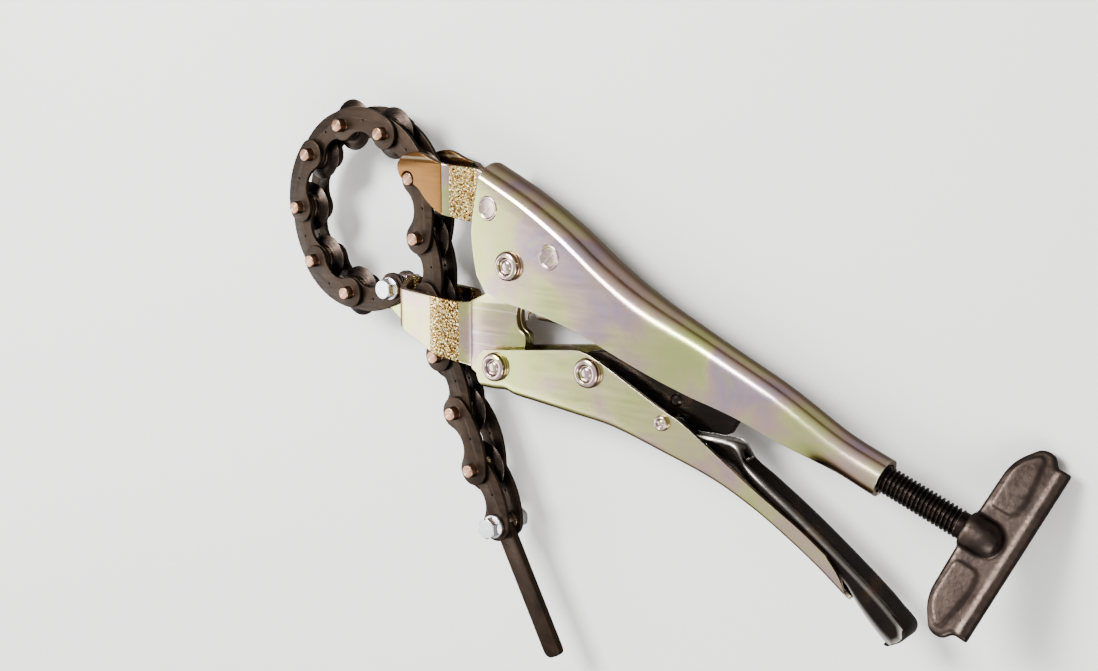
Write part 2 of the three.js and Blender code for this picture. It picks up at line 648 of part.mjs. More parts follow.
// tail strip
function tailStrip() {
  const half = stripWidth / 2;
  const shape = new THREE.Shape();
  shape.absarc(0, 0, half, Math.PI / 2, Math.PI * 1.5, false);
  shape.lineTo(stripLength - 9, -half);
  shape.quadraticCurveTo(stripLength, -half, stripLength, -half * 0.1);
  shape.quadraticCurveTo(stripLength, half, stripLength - 5, half);
  shape.closePath();
  const strip = slab(shape, -stripHalfThick, stripHalfThick, 6);
  const bored = cut(strip, rod([0, 0], anchorShank + gap, -9, 9, 14));
  return bored.rotate([0, 0, stripAngleDeg]).translate([...pins[lastPin], 0]);
}

addPiece('tail_strip', tailStrip(), chainSteel);

// the frame
const bounds = new THREE.Box3().setFromObject(tool);
const centre = bounds.getCenter(new THREE.Vector3());
tool.position.set(-centre.x, -centre.y, -bounds.min.z);
const part = new THREE.Group();
part.add(tool);

export default part;
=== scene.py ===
import bpy, bmesh, math
from mathutils import Matrix, Vector


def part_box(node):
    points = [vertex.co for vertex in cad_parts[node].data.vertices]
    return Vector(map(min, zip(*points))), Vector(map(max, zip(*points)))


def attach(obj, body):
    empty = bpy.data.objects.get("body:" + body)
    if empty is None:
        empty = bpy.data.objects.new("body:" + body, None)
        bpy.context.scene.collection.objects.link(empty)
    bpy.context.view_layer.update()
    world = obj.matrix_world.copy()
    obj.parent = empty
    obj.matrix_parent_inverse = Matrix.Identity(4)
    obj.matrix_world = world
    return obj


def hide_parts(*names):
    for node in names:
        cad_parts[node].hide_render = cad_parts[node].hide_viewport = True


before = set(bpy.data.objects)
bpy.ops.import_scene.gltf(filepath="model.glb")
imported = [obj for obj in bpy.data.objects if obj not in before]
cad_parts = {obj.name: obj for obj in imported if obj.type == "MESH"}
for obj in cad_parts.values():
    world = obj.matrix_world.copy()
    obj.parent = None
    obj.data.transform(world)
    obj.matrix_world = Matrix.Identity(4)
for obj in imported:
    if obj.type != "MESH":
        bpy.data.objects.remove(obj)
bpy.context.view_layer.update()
print("frame loaded,", len(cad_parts), "nodes")

# the tool's own plane
# Everything is drawn in millimetres in the plane of the tool, with the main pivot at 0, 0
# and +Z out of the near side. toFrame carries it to the row frame.
pivotLow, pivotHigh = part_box("main_pivot_rivet")
pivotCentre = (Vector(pivotLow) + Vector(pivotHigh)) / 2
toFrame = Matrix.Translation(pivotCentre) @ Matrix.Scale(0.001, 4)
millimetre = 0.001

places = {
    "main": (0, 0), "jaw": (-8.8, -42.7), "toggle": (39, -38.6), "lever": (73.9, -53.1),
    "plugs": [(-11.3, 22.4), (20.4, 5.2)],
}
screw = {"start": (160.5, -60.3), "angle": -21, "radius": 5.0, "pitch": 1.6, "depth": 0.95, "nose": 55.3, "tee": 31.5}
chain = {
    "pitch": 25.4, "centre": (-89.7, 16.5), "radius": 37.8, "loopLinks": 8, "start": -60.8,
    "hanging": [-82, -74, -67.5, -66.6, -65], "end": 6.8, "crest": 9.5, "hollow": 1.1, "sheet": 1.7,
    "innerInside": 3.5, "pin": 2.9, "pinHalf": 11, "wheel": 11.2, "wheelHalf": 3.1,
}


# small helpers
def srgb(code):
    value = [int(code[i:i + 2], 16) / 255 for i in (1, 3, 5)]
    return tuple(c / 12.92 if c <= 0.04045 else ((c + 0.055) / 1.055) ** 2.4 for c in value) + (1.0,)


def link(obj):
    bpy.context.scene.collection.objects.link(obj)
    return obj


def solid(name, verts, faces, move=toFrame, sharp=32):
    mesh = bpy.data.meshes.new(name)
    mesh.from_pydata([move @ Vector(v) for v in verts], [], faces)
    bm = bmesh.new()
    bm.from_mesh(mesh)
    bmesh.ops.remove_doubles(bm, verts=bm.verts, dist=1e-7)
    bmesh.ops.recalc_face_normals(bm, faces=bm.faces)
    bm.to_mesh(mesh)
    bm.free()
    mesh.shade_smooth()
    mesh.set_sharp_from_angle(angle=math.radians(sharp))
    return link(bpy.data.objects.new(name, mesh))


def baked(obj, sharp=32):
    # the object as its modifiers leave it, as a plain mesh
    graph = bpy.context.evaluated_depsgraph_get()
    mesh = bpy.data.meshes.new_from_object(obj.evaluated_get(graph), depsgraph=graph)
    obj.modifiers.clear()
    obj.data = mesh
    mesh.shade_smooth()
    mesh.set_sharp_from_angle(angle=math.radians(sharp))
    return obj


def carve(obj, cutter, operation="DIFFERENCE", sharp=32):
    modifier = obj.modifiers.new("carve", "BOOLEAN")
    modifier.object, modifier.operation, modifier.solver = cutter, operation, "EXACT"
    bpy.context.view_layer.update()
    baked(obj, sharp)
    bpy.data.objects.remove(cutter)
    return obj


def joined(name, *pieces):
    bm = bmesh.new()
    materials = []
    for piece in pieces:
        slots = []
        for material in piece.data.materials:
            if material not in materials:
                materials.append(material)
            slots.append(materials.index(material))
        before = len(bm.faces)
        bm.from_mesh(piece.data)
        bm.faces.ensure_lookup_table()
        for face in bm.faces[before:]:
            if slots:
                face.material_index = slots[min(face.material_index, len(slots) - 1)]
        bpy.data.objects.remove(piece)
    mesh = bpy.data.meshes.new(name)
    bm.to_mesh(mesh)
    bm.free()
    for material in materials:
        mesh.materials.append(material)
    return link(bpy.data.objects.new(name, mesh))


def finish(obj, body, nodes, slotName, *materials):
    if materials:
        obj.data.materials.clear()
        for material in materials:
            obj.data.materials.append(material)
    obj.name = obj.name.replace(" ", "-")
    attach(obj, body)
    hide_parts(*nodes)
    return obj


def outline(points, steps=6):
    # corner points x, y and an optional setback that rounds the corner
    path = []
    for i, point in enumerate(points):
        here = Vector(point[:2])
        toBefore = Vector(points[i - 1][:2]) - here
        toAfter = Vector(points[(i + 1) % len(points)][:2]) - here
        reach = min(point[2] if len(point) > 2 else 0, 0.48 * toBefore.length, 0.48 * toAfter.length)
        if reach < 0.01:
            path.append(here)
            continue
        back, on = here + toBefore.normalized() * reach, here + toAfter.normalized() * reach
        for k in range(steps + 1):
            t = k / steps
            path.append(back * (1 - t) ** 2 + here * 2 * t * (1 - t) + on * t * t)
    return [(p.x, p.y) for p in path]


def ring(centre, radius, count=40):
    return [(centre[0] + radius * math.cos(2 * math.pi * k / count),
             centre[1] + radius * math.sin(2 * math.pi * k / count)) for k in range(count)]


def plate(name, loops, low, high, edge=0.3, move=toFrame, sharp=32):
    # a flat plate with rounded edges; loops after the first are holes
    curve = bpy.data.curves.new(name, "CURVE")
    curve.dimensions, curve.fill_mode = "2D", "BOTH"
    for loop in loops:
        spline = curve.splines.new("POLY")
        spline.points.add(len(loop) - 1)
        for point, (x, y) in zip(spline.points, loop):
            point.co = (x, y, 0, 1)
        spline.use_cyclic_u = True
    curve.extrude = (high - low) / 2 - edge
    curve.bevel_depth, curve.bevel_resolution, curve.offset = edge, 2, -edge
    holder = link(bpy.data.objects.new(name, curve))
    bpy.context.view_layer.update()
    graph = bpy.context.evaluated_depsgraph_get()
    mesh = bpy.data.meshes.new_from_object(holder.evaluated_get(graph), depsgraph=graph)
    bpy.data.objects.remove(holder)
    verts = [(v.co.x, v.co.y, v.co.z + (high + low) / 2) for v in mesh.vertices]
    faces = [tuple(f.vertices) for f in mesh.polygons]
    return solid(name, verts, faces, move, sharp)


def turned(name, profile, move=toFrame, count=48, sharp=32):
    # profile is radius, height along Z
    verts, faces = [], []
    for radius, height in profile:
        for k in range(count):
            a = 2 * math.pi * k / count
            verts.append((radius * math.cos(a), radius * math.sin(a), height))
    for i in range(len(profile) - 1):
        for k in range(count):
            a, b = i * count + k, i * count + (k + 1) % count
            faces.append((a, b, b + count, a + count))
    if profile[0] != profile[-1]:
        faces.append(tuple(reversed(range(count))))
        faces.append(tuple(range((len(profile) - 1) * count, len(profile) * count)))
    return solid(name, verts, faces, move, sharp)


def rounded(profile, setback=0.3, steps=3):
    # the same profile with its inner corners rounded
    path = [profile[0]]
    for before, here, after in zip(profile, profile[1:], profile[2:]):
        a, b, c = Vector(before), Vector(here), Vector(after)
        reach = min(setback, 0.45 * (a - b).length, 0.45 * (c - b).length)
        back, on = b + (a - b).normalized() * reach, b + (c - b).normalized() * reach
        for k in range(steps + 1):
            t = k / steps
            p = back * (1 - t) ** 2 + b * 2 * t * (1 - t) + on * t * t
            path.append((p.x, p.y))
    return path + [profile[-1]]


def at(x, y, z=0):
    return toFrame @ Matrix.Translation((x, y, z))


# local X runs along the screw, away from the jaws; a second turn tilts the T-handle
alongScrew = toFrame @ Matrix.Translation((*screw["start"], 0)) @ Matrix.Rotation(math.radians(screw["angle"]), 4, "Z")
screwLathe = alongScrew @ Matrix.Rotation(math.radians(90), 4, "Y")


def smoothAlong(knots, x):
    # a smooth curve through x, value knots
    last = len(knots) - 1
    if x <= knots[0][0]:
        return knots[0][1]
    if x >= knots[last][0]:
        return knots[last][1]
    i = next(k for k in range(last) if knots[k + 1][0] > x)

    def slope(k):
        lo, hi = max(k - 1, 0), min(k + 1, last)
        return (knots[hi][1] - knots[lo][1]) / (knots[hi][0] - knots[lo][0])
    (x0, v0), (x1, v1) = knots[i], knots[i + 1]
    w = x1 - x0
    t = (x - x0) / w
    return (v0 * (1 + 2 * t) * (1 - t) ** 2 + slope(i) * w * t * (1 - t) ** 2
            + v1 * t * t * (3 - 2 * t) + slope(i + 1) * w * t * t * (t - 1))


def sheetShell(name, section, front, rear, stations, thick, sharp=32):
    # a folded sheet: section(x) is its outer line as y, z points, front(y) and rear(y) end it
    count = len(section(front(0)))
    lines = []
    for j in range(count):
        ends = []
        for limit in (front, rear):
            x = limit(0) if limit is front else rear(-60)
            for _ in range(8):
                x = limit(section(x)[j][0])
            ends.append(x)
        lines.append(ends)
    grid = []
    for i in range(stations + 1):
        row = []
        for j in range(count):
            x = lines[j][0] + (lines[j][1] - lines[j][0]) * i / stations
            y, z = section(x)[j]
            row.append(Vector((x, y, z)))
        grid.append(row)
    inner = []
    for i in range(stations + 1):
        row = []
        for j in range(count):
            du = grid[min(i + 1, stations)][j] - grid[max(i - 1, 0)][j]
            dv = grid[i][min(j + 1, count - 1)] - grid[i][max(j - 1, 0)]
            row.append(grid[i][j] - du.cross(dv).normalized() * thick)
        inner.append(row)
    middle = grid[stations // 2]
    if (inner[stations // 2][2] - middle[2]).z * middle[2].z > 0:
        inner = [[2 * g - n for g, n in zip(a, b)] for a, b in zip(grid, inner)]
    verts = [v for row in grid for v in row] + [v for row in inner for v in row]
    size = (stations + 1) * count
    faces = []
    for i in range(stations):
        for j in range(count - 1):
            a = i * count + j
            faces.append((a, a + 1, a + count + 1, a + count))
            faces.append((size + a, size + a + count, size + a + count + 1, size + a + 1))
    for i in range(stations):
        for j in (0, count - 1):
            a = i * count + j
            faces.append((a, a + count, size + a + count, size + a))
    for i in (0, stations):
        for j in range(count - 1):
            a = i * count + j
            faces.append((a, a + 1, size + a + 1, size + a))
    return solid(name, verts, faces, toFrame, sharp)


# finishes
def addNode(tree, kind, settings=None, values=None, feeds=None):
    made = tree.nodes.new(kind)
    for key, value in (settings or {}).items():
        setattr(made, key, value)
    for key, value in (values or {}).items():
        made.inputs[key].default_value = value
    for key, (source, output) in (feeds or {}).items():
        tree.links.new(source.outputs[output], made.inputs[key])
    return made


def rampNode(tree, source, output, stops):
    ramp = addNode(tree, "ShaderNodeValToRGB", feeds={"Fac": (source, output)})
    elements = ramp.color_ramp.elements
    while len(elements) > 1:
        elements.remove(elements[-1])
    for k, (place, colour) in enumerate(stops):
        element = elements[0] if k == 0 else elements.new(place)
        element.position, element.color = place, srgb(colour) if isinstance(colour, str) else (*colour, 1)
    return ramp


def metalFinish(name, look):
    # look: clouds, slow change of colour; the rim colour, a painted brown reflection and dark shade where the surface
    # turns away from the view; the edge colour, real edge wear and, on the lever's bends, a painted highlight
    material = bpy.data.materials.new(name)
    material.use_nodes = True
    tree = material.node_tree
    tree.nodes.clear()
    where = addNode(tree, "ShaderNodeTexCoord")
    slow = addNode(tree, "ShaderNodeTexNoise", values={"Scale": 1000 / look["cloudSize"], "Detail": 3.0, "Distortion": 0.6},
                   feeds={"Vector": (where, "Object")})
    clouds = rampNode(tree, slow, "Fac", look["clouds"])
    # painted reflection and shade: the rim colour is mixed in as the surface turns away from the camera, in place of
    # the brown surroundings mirrored in the metal and the shade on rounded sides
    facing = addNode(tree, "ShaderNodeLayerWeight", values={"Blend": 0.5})
    tilt = addNode(tree, "ShaderNodeMapRange", {"interpolation_type": "SMOOTHSTEP"},
                   {"From Min": look.get("grazeFrom", 0.3), "From Max": look.get("grazeTo", 0.75), "To Max": look.get("graze", 0.9)},
                   {"Value": (facing, "Facing")})
    colour = addNode(tree, "ShaderNodeMix", {"data_type": "RGBA"}, {7: srgb(look["paintedRimReflection"])},
                     {0: (tilt, "Result"), 6: (clouds, "Color")})
    # edge colour by pointiness: real edge wear, and where it is strong on the lever's bends a painted highlight
    edge = addNode(tree, "ShaderNodeNewGeometry")
    edgeWearAndHighlightAmount = addNode(tree, "ShaderNodeMapRange", values={"From Min": look.get("wearFrom", 0.55), "From Max": look.get("wearAt", 0.64), "To Max": look.get("edgeWearAndHighlightAmount", 0.6)},
                   feeds={"Value": (edge, "Pointiness")})
    edgeWearAndHighlight = addNode(tree, "ShaderNodeMix", {"data_type": "RGBA"}, {7: srgb(look["edgeWearAndHighlight"])}, {0: (edgeWearAndHighlightAmount, "Result"), 6: (colour, 2)})
    fine = addNode(tree, "ShaderNodeTexNoise", values={"Scale": 1000 / look["grainSize"], "Detail": 4.0},
                   feeds={"Vector": (where, "Object")})
    stretch = addNode(tree, "ShaderNodeMapping", values={"Scale": look.get("grainStretch", (0.12, 1, 1)), "Rotation": (0, 0, look.get("grainTurn", 0.4))},
                      feeds={"Vector": (where, "Object")})
    drawn = addNode(tree, "ShaderNodeTexNoise", values={"Scale": 1000 / look["grainSize"], "Detail": 2.0},
                    feeds={"Vector": (stretch, "Vector")})
    low, high = look["roughness"]
    rough = addNode(tree, "ShaderNodeMapRange", values={"From Min": 0.3, "From Max": 0.7, "To Min": low, "To Max": high},
                    feeds={"Value": (drawn, "Fac")})
    rounding = addNode(tree, "ShaderNodeBevel", {"samples": 4}, {"Radius": look.get("edgeRadius", 0.3) * millimetre})
    bump = addNode(tree, "ShaderNodeBump", values={"Strength": look["bump"], "Distance": look.get("bumpHeight", 0.05) * millimetre},
                   feeds={"Height": (fine, "Fac"), "Normal": (rounding, "Normal")})
    if look.get("dimple"):
        pits = addNode(tree, "ShaderNodeTexVoronoi", values={"Scale": 1000 / look["dimple"], "Randomness": 1.0},
                       feeds={"Vector": (where, "Object")})
        bump = addNode(tree, "ShaderNodeBump", values={"Strength": 0.9, "Distance": 0.35 * millimetre},
                       feeds={"Height": (pits, "Distance"), "Normal": (bump, "Normal")})
    shader = addNode(tree, "ShaderNodeBsdfPrincipled", values={"Metallic": look.get("metallic", 1.0), "IOR": 1.5},
                     feeds={"Base Color": (edgeWearAndHighlight, 2), "Roughness": (rough, "Result"), "Normal": (bump, "Normal")})
    addNode(tree, "ShaderNodeOutputMaterial", feeds={"Surface": (shader, "BSDF")})
    return material


# in each finish below the rim colour is a painted reflection and shade, and the edge colour is real edge wear except on
# the lever's bends, where it is a painted highlight
zincClouds = [(0.22, "#ccd482"), (0.38, "#cfd68a"), (0.5, "#dcd79c"), (0.6, "#d9bdb0"), (0.7, "#c4aebf"), (0.82, "#c9d284")]
yellowZinc = metalFinish("yellow passivated zinc plate", {
    "clouds": zincClouds, "cloudSize": 34, "paintedRimReflection": "#6c4f30", "edgeWearAndHighlight": "#fdfbe8", "grainSize": 2.2,
    "roughness": (0.17, 0.22), "bump": 0.12, "grazeFrom": 0.3, "grazeTo": 0.58, "graze": 0.85})
# painted reflection: a darker bronze copy of the zinc for the front flat of the upper jaw, in place of the brown
# surroundings it mirrors
bronzeReflectionZinc = metalFinish("golden patch of the zinc plate", {
    "clouds": [(0.3, "#78552f"), (0.6, "#6e4c28"), (0.8, "#836238")], "cloudSize": 26, "paintedRimReflection": "#6f4f2c", "edgeWearAndHighlight": "#f6e3c0",
    "grainSize": 2.2, "roughness": (0.17, 0.24), "bump": 0.12})
stippledZinc = metalFinish("pebbled yellow zinc in a bend", {
    "clouds": [(0.36, "#4e361c"), (0.44, "#b78a45"), (0.54, "#d6bb74"), (0.64, "#f1e9bb")], "cloudSize": 0.9, "paintedRimReflection": "#7a5328",
    "edgeWearAndHighlight": "#fff2cc", "grainSize": 0.8, "roughness": (0.18, 0.3), "bump": 0.3, "dimple": 0.9})
rivetZinc = metalFinish("yellow zinc plate on a rivet", {
    "clouds": [(0.3, "#e2db9c"), (0.55, "#d6b8bd"), (0.75, "#ccd48f")], "cloudSize": 9, "paintedRimReflection": "#3d2815", "edgeWearAndHighlight": "#fffbe0",
    "grainSize": 1.1, "roughness": (0.11, 0.18), "bump": 0.08, "grazeFrom": 0.28, "grazeTo": 0.6})
bronzedSteel = metalFinish("bronzed chain steel", {
    "clouds": [(0.3, "#2e231b"), (0.5, "#382b21"), (0.7, "#251d17")], "cloudSize": 14, "paintedRimReflection": "#0e0b09", "edgeWearAndHighlight": "#a98a6e",
    "grainSize": 1.3, "roughness": (0.3, 0.5), "bump": 0.25, "edgeWearAndHighlightAmount": 0.35, "wearAt": 0.6, "metallic": 0.85, "grazeFrom": 0.25, "grazeTo": 0.6})
pinSteel = metalFinish("tan tempered pin steel", {
    "clouds": [(0.35, "#bf9478"), (0.65, "#9c755b")], "cloudSize": 6, "paintedRimReflection": "#2e2119", "edgeWearAndHighlight": "#f3ddcb",
    "grainSize": 0.9, "roughness": (0.22, 0.38), "bump": 0.15, "grazeFrom": 0.28, "grazeTo": 0.6})
wheelSteel = metalFinish("hardened cutting wheel steel", {
    "clouds": [(0.35, "#211b18"), (0.65, "#332a25")], "cloudSize": 8, "paintedRimReflection": "#0f0c0a", "edgeWearAndHighlight": "#d8c3ae",
    "grainSize": 0.8, "roughness": (0.22, 0.4), "bump": 0.2, "edgeWearAndHighlightAmount": 0.7, "wearFrom": 0.51, "wearAt": 0.58})
brightZinc = metalFinish("bright zinc bolt", {
    "clouds": [(0.35, "#f1f3f5"), (0.65, "#e2e6ea")], "cloudSize": 5, "paintedRimReflection": "#8f949b", "edgeWearAndHighlight": "#ffffff",
    "grainSize": 0.7, "roughness": (0.2, 0.34), "bump": 0.15})
blackOxide = metalFinish("satin black oxide steel", {
    "clouds": [(0.35, "#1d1917"), (0.58, "#2a2320"), (0.72, "#5a4028")], "cloudSize": 20, "paintedRimReflection": "#0d0a09", "edgeWearAndHighlight": "#8f7a62",
    "grainSize": 1.2, "roughness": (0.18, 0.3), "bump": 0.2, "edgeWearAndHighlightAmount": 0.0, "metallic": 0.9})
# painted highlight: this copy of the black oxide paints a pale line along the convex bends of the release lever, in
# place of the bright reflections there
oxideWithPaintedBendHighlight = metalFinish("black oxide rubbed bright on its bends", {
    "clouds": [(0.35, "#1d1917"), (0.58, "#2a2320"), (0.72, "#5a4028")], "cloudSize": 20, "paintedRimReflection": "#0d0a09", "edgeWearAndHighlight": "#efe9e0",
    "grainSize": 1.2, "roughness": (0.18, 0.3), "bump": 0.2, "edgeWearAndHighlightAmount": 0.85, "wearFrom": 0.51, "wearAt": 0.57, "metallic": 0.9})
screwSteel = metalFinish("oiled black thread steel", {
    "clouds": [(0.35, "#1f1a18"), (0.65, "#352b27")], "cloudSize": 6, "paintedRimReflection": "#0b0908", "edgeWearAndHighlight": "#c9b6a2",
    "grainSize": 0.8, "roughness": (0.18, 0.32), "bump": 0.15, "edgeRadius": 0.1, "metallic": 0.95})
forgedSteel = metalFinish("forged steel with a bronzed skin", {
    "clouds": [(0.3, "#3a302c"), (0.5, "#4c413b"), (0.7, "#2c2626")], "cloudSize": 16, "paintedRimReflection": "#17110f", "edgeWearAndHighlight": "#c9b8ab",
    "grainSize": 1.6, "roughness": (0.28, 0.46), "bump": 0.6, "bumpHeight": 0.14, "edgeWearAndHighlightAmount": 0.0})
springWire = metalFinish("drawn spring wire", {
    "clouds": [(0.35, "#8f7a5f"), (0.65, "#b3a184")], "cloudSize": 4, "paintedRimReflection": "#30261c", "edgeWearAndHighlight": "#f2ead8",
    "grainSize": 0.7, "roughness": (0.22, 0.36), "bump": 0.1})
print("finishes made")

# upper handle
upperHandle = {
    "ridge": [(-26, 45.2), (4.6, 31), (26.2, 18.6), (45.4, 5.2), (62.3, -5), (90.1, -18.5), (118.5, -31.6), (138.7, -40.4),
              (150.5, -46.6), (175, -56)],
    "bendLine": [(-26, 39.7), (4.6, 24.8), (26.2, 11.8), (42.9, -0.1), (63.6, -13.8), (94.7, -29), (118.4, -39.3),
                 (140.9, -48.2), (175, -61)],
    "lowerEdge": [(-26, -9.4), (-13, -12), (0.4, -15.5), (10.6, -17.2), (32.5, -22.4), (52, -29.6), (71.3, -36.8), (86, -41.6),
                  (95.6, -44), (106.4, -47), (126, -54), (145, -60.6), (175, -71)],
    "halfWidth": [(40, 9.9), (62, 9.5), (92, 7.5), (175, 7.3)],
    "frontEdge": [(-12.6, -11.5), (-11.4, -14), (-8.5, -16.4), (-4.8, -17.5), (4, -19.3), (13, -20.1), (24, -18.3),
                  (35.5, -15.8), (48, -14.6)],
    "tubeFrom": 116, "tubeTo": 156, "tubeRadius": 7.1, "sheet": 1.6,
}


def upperSection(x):
    values = upperHandle
    crest, bend = smoothAlong(values["ridge"], x), smoothAlong(values["bendLine"], x)
    foot, half = smoothAlong(values["lowerEdge"], x), smoothAlong(values["halfWidth"], x)
    rise = min(crest - bend, half)
    radius = (half * half + rise * rise) / (2 * rise)
    opening = math.asin(min(1, half / radius))
    near = []
    for k in range(9):
        near.append((foot + (bend - 1.3 - foot) * k / 8, half))
    corner = (bend, half)
    a = opening - 1.3 / radius
    on = (crest - radius + radius * math.cos(a), radius * math.sin(a))
    for t in (0.25, 0.5, 0.75):
        near.append((near[8][0] * (1 - t) ** 2 + corner[0] * 2 * t * (1 - t) + on[0] * t * t,
                     near[8][1] * (1 - t) ** 2 + corner[1] * 2 * t * (1 - t) + on[1] * t * t))
    for k in range(10):
        b = a * (1 - k / 10)
        near.append((crest - radius + radius * math.cos(b), radius * math.sin(b)))
    blend = min(1, max(0, (x - values["tubeFrom"]) / (values["tubeTo"] - values["tubeFrom"])))
    blend = blend * blend * (3 - 2 * blend)
    if blend > 0:
        lean = math.radians(screw["angle"])
        axisY = screw["start"][1] + (x - screw["start"][0]) * math.tan(lean)
        tall = values["tubeRadius"] / math.cos(lean)
        for k, (y, z) in enumerate(near):
            turn = math.radians(-88 + 178 * (k / len(near)))
            near[k] = (y + (axisY + tall * math.sin(turn) - y) * blend,
                       z + (values["tubeRadius"] * math.cos(turn) - z) * blend)
    top = crest if blend == 0 else crest + (axisY + tall - crest) * blend
    return near + [(top, 0.0)] + [(y, -z) for y, z in reversed(near)]


handleShell = sheetShell("upper handle", upperSection, lambda y: smoothAlong(upperHandle["frontEdge"], y),
                         lambda y: screw["start"][0] + (y - screw["start"][1]) * math.tan(math.radians(-screw["angle"])),
                         110, upperHandle["sheet"], 28)
finish(handleShell, "frame", ["upper_handle"], "yellow_zinc", yellowZinc)
print("upper handle")

# jaws
jaws = {"sheet": 2.7, "split": 0.15, "hookInside": 8.0, "windowInside": 11.5, "round": 1.4, "step": 0.7}


def loopPins():
    step = 2 * math.asin(chain["pitch"] / 2 / chain["radius"])
    pins = []
    for i in range(chain["loopLinks"] + 1):
        turn = math.radians(chain["start"]) - i * step
        pins.append(Vector((chain["centre"][0] + chain["radius"] * math.cos(turn),
                            chain["centre"][1] + chain["radius"] * math.sin(turn))))
    for angle in chain["hanging"]:
        pins.append(pins[-1] + chain["pitch"] * Vector((math.cos(math.radians(angle)), math.sin(math.radians(angle)))))
    return pins


pins = loopPins()
hookPin = pins[chain["loopLinks"] - 1]


def offset(path, x):
    # distance of the plate's inner face from the middle plane, with the bends rounded
    def straight(v):
        if v <= path[0][0]:
            return path[0][1]
        for (x0, z0), (x1, z1) in zip(path, path[1:]):
            if v <= x1:
                return z0 + (z1 - z0) * (v - x0) / (x1 - x0)
        return path[-1][1]
    samples = [straight(x + jaws["round"] * k / 4) for k in range(-4, 5)]
    return sum(samples) / len(samples)


def bentPlate(name, loops, path, side, grainy, paintedReflectionTo=-90):
    flat = plate(name, loops, 0, jaws["sheet"], 0.35, Matrix.Identity(4))
    bm = bmesh.new()
    bm.from_mesh(flat.data)
    bpy.data.objects.remove(flat)
    x = path[0][0] - 2
    while x < path[-1][0] + 2:
        bmesh.ops.bisect_plane(bm, geom=bm.verts[:] + bm.edges[:] + bm.faces[:], plane_co=(x, 0, 0), plane_no=(1, 0, 0), dist=1e-4)
        x += jaws["step"]
    verts = []
    for v in bm.verts:
        x, y, z = v.co
        slope = (offset(path, x + 0.2) - offset(path, x - 0.2)) / 0.4
        lean = math.atan(slope)
        verts.append((x - math.sin(lean) * z, y, (offset(path, x) + math.cos(lean) * z) * side))
    bm.verts.index_update()
    faces = [tuple(v.index for v in f.verts) for f in bm.faces]
    bm.free()
    made = solid(name, verts, faces, toFrame, 30)
    made.data.materials.append(yellowZinc)
    made.data.materials.append(stippledZinc)
    made.data.materials.append(bronzeReflectionZinc)
    # grainy strips get the pebbled finish; faces in front of the last limit get the painted bronze reflection
    for face in made.data.polygons:
        x = (face.center.x - pivotCentre.x) / millimetre
        if any(lo < x < hi for lo, hi in grainy):
            face.material_index = 1
        elif x < paintedReflectionTo:
            face.material_index = 2
    return made


def hookOutline():
    reach = chain["pin"] + 0.45
    corners = [(-49.4, 29, 3), (-45.6, 24.4, 4), (-39.4, 19.6, 5), (-27.5, 15.4, 4), (-14.4, 15.4, 3), (-13.4, 7.6, 4),
               (-12.4, 0.5, 1), (-9, 8.6, 6), (0, 12.5, 6), (9, 8.6, 6), (12.4, 0.5, 1), (15, -2.4, 3), (28, -4, 4), (28.6, 7.4, 5), (0, 25, 8),
               (-22, 37.2, 3), (-38, 39.6, 6), (-49.5, 44.4, 8), (-58.6, 42, 4), (-62, 37.4, 3), (-59.6, 32.6, 0.8)]
    notch = [(hookPin.x + reach * math.cos(math.radians(a)), hookPin.y + reach * math.sin(math.radians(a)))
             for a in range(176, -6, -12)]
    return outline(corners) + notch


def lowerJawOutline():
    x, y = pins[0]
    return outline([
        (x + 1, y + 6.4, 5), (x - 7.4, y + 4, 5), (x - 8.4, y - 6, 5), (-67, -31.4, 1.5), (-57, -30.2, 1), (-54.8, -32.6, 2.5),
        (-43.4, -37.4, 4), (-36.6, -41.6, 3), (-28.4, -46.2, 4), (-16.5, -52.4, 6), (-1.4, -52, 7), (0.4, -40, 4), (2.6, -35, 2),
        (2.6, -28.8, 1.5), (-1.4, -26.6, 2.4), (-2.4, -22, 2.4), (-1.6, -17, 2), (6, -15.6, 3), (11.8, -4, 7), (7, 11, 7), (-7, 11, 7), (-12.6, 0, 6),
        (-17, -13, 4), (-30, -19, 4), (-38.3, -15.6, 2), (-56.2, -14.2, 2), (-62, -11, 3)])


for side, word in ((1, "near"), (-1, "far")):
    upper = bentPlate("upper jaw " + word, [hookOutline()], [(-34.4, jaws["hookInside"]), (-24.4, jaws["split"])], side,
                      [(-32.6, -23.6)], -35.6)
    finish(upper, "frame", ["upper_jaw_plate_" + word], "yellow_zinc")
    lower = bentPlate("lower jaw " + word, [lowerJawOutline()],
                      [(-62.6, jaws["split"]), (-56.9, jaws["windowInside"]), (-37.2, jaws["windowInside"]), (-28.4, jaws["split"])],
                      side, [(-40.4, -30.4), (-64.5, -58)])
    finish(lower, "lower_jaw_body", ["lower_jaw_plate_" + word], "yellow_zinc")
print("jaws")

# rivets
rivets = {"shank": 4.4, "head": 6.1, "height": 2.4, "handleHalf": 10, "lowerHalf": 8.2, "leverHead": 3.1, "plug": 5.2}


def rivet(name, place, shank, head, height, wall):
    seat, top = wall + 0.02, wall + 0.3 + height
    half = [(shank, seat - 1), (shank, seat), (head - 0.05, seat), (head, seat + height * 0.4), (head * 0.93, top - height * 0.18),
            (head * 0.78, top), (head * 0.6, top - 0.05), (head * 0.5, top - height * 0.55), (head * 0.42, top - height * 0.6),
            (head * 0.36, top - height * 0.34), (head * 0.25, top - height * 0.24), (0.02, top - height * 0.22)]
    profile = rounded([(r, -z) for r, z in reversed(half)] + half, 0.35)
    return turned(name, profile, at(*place), 56, 40)


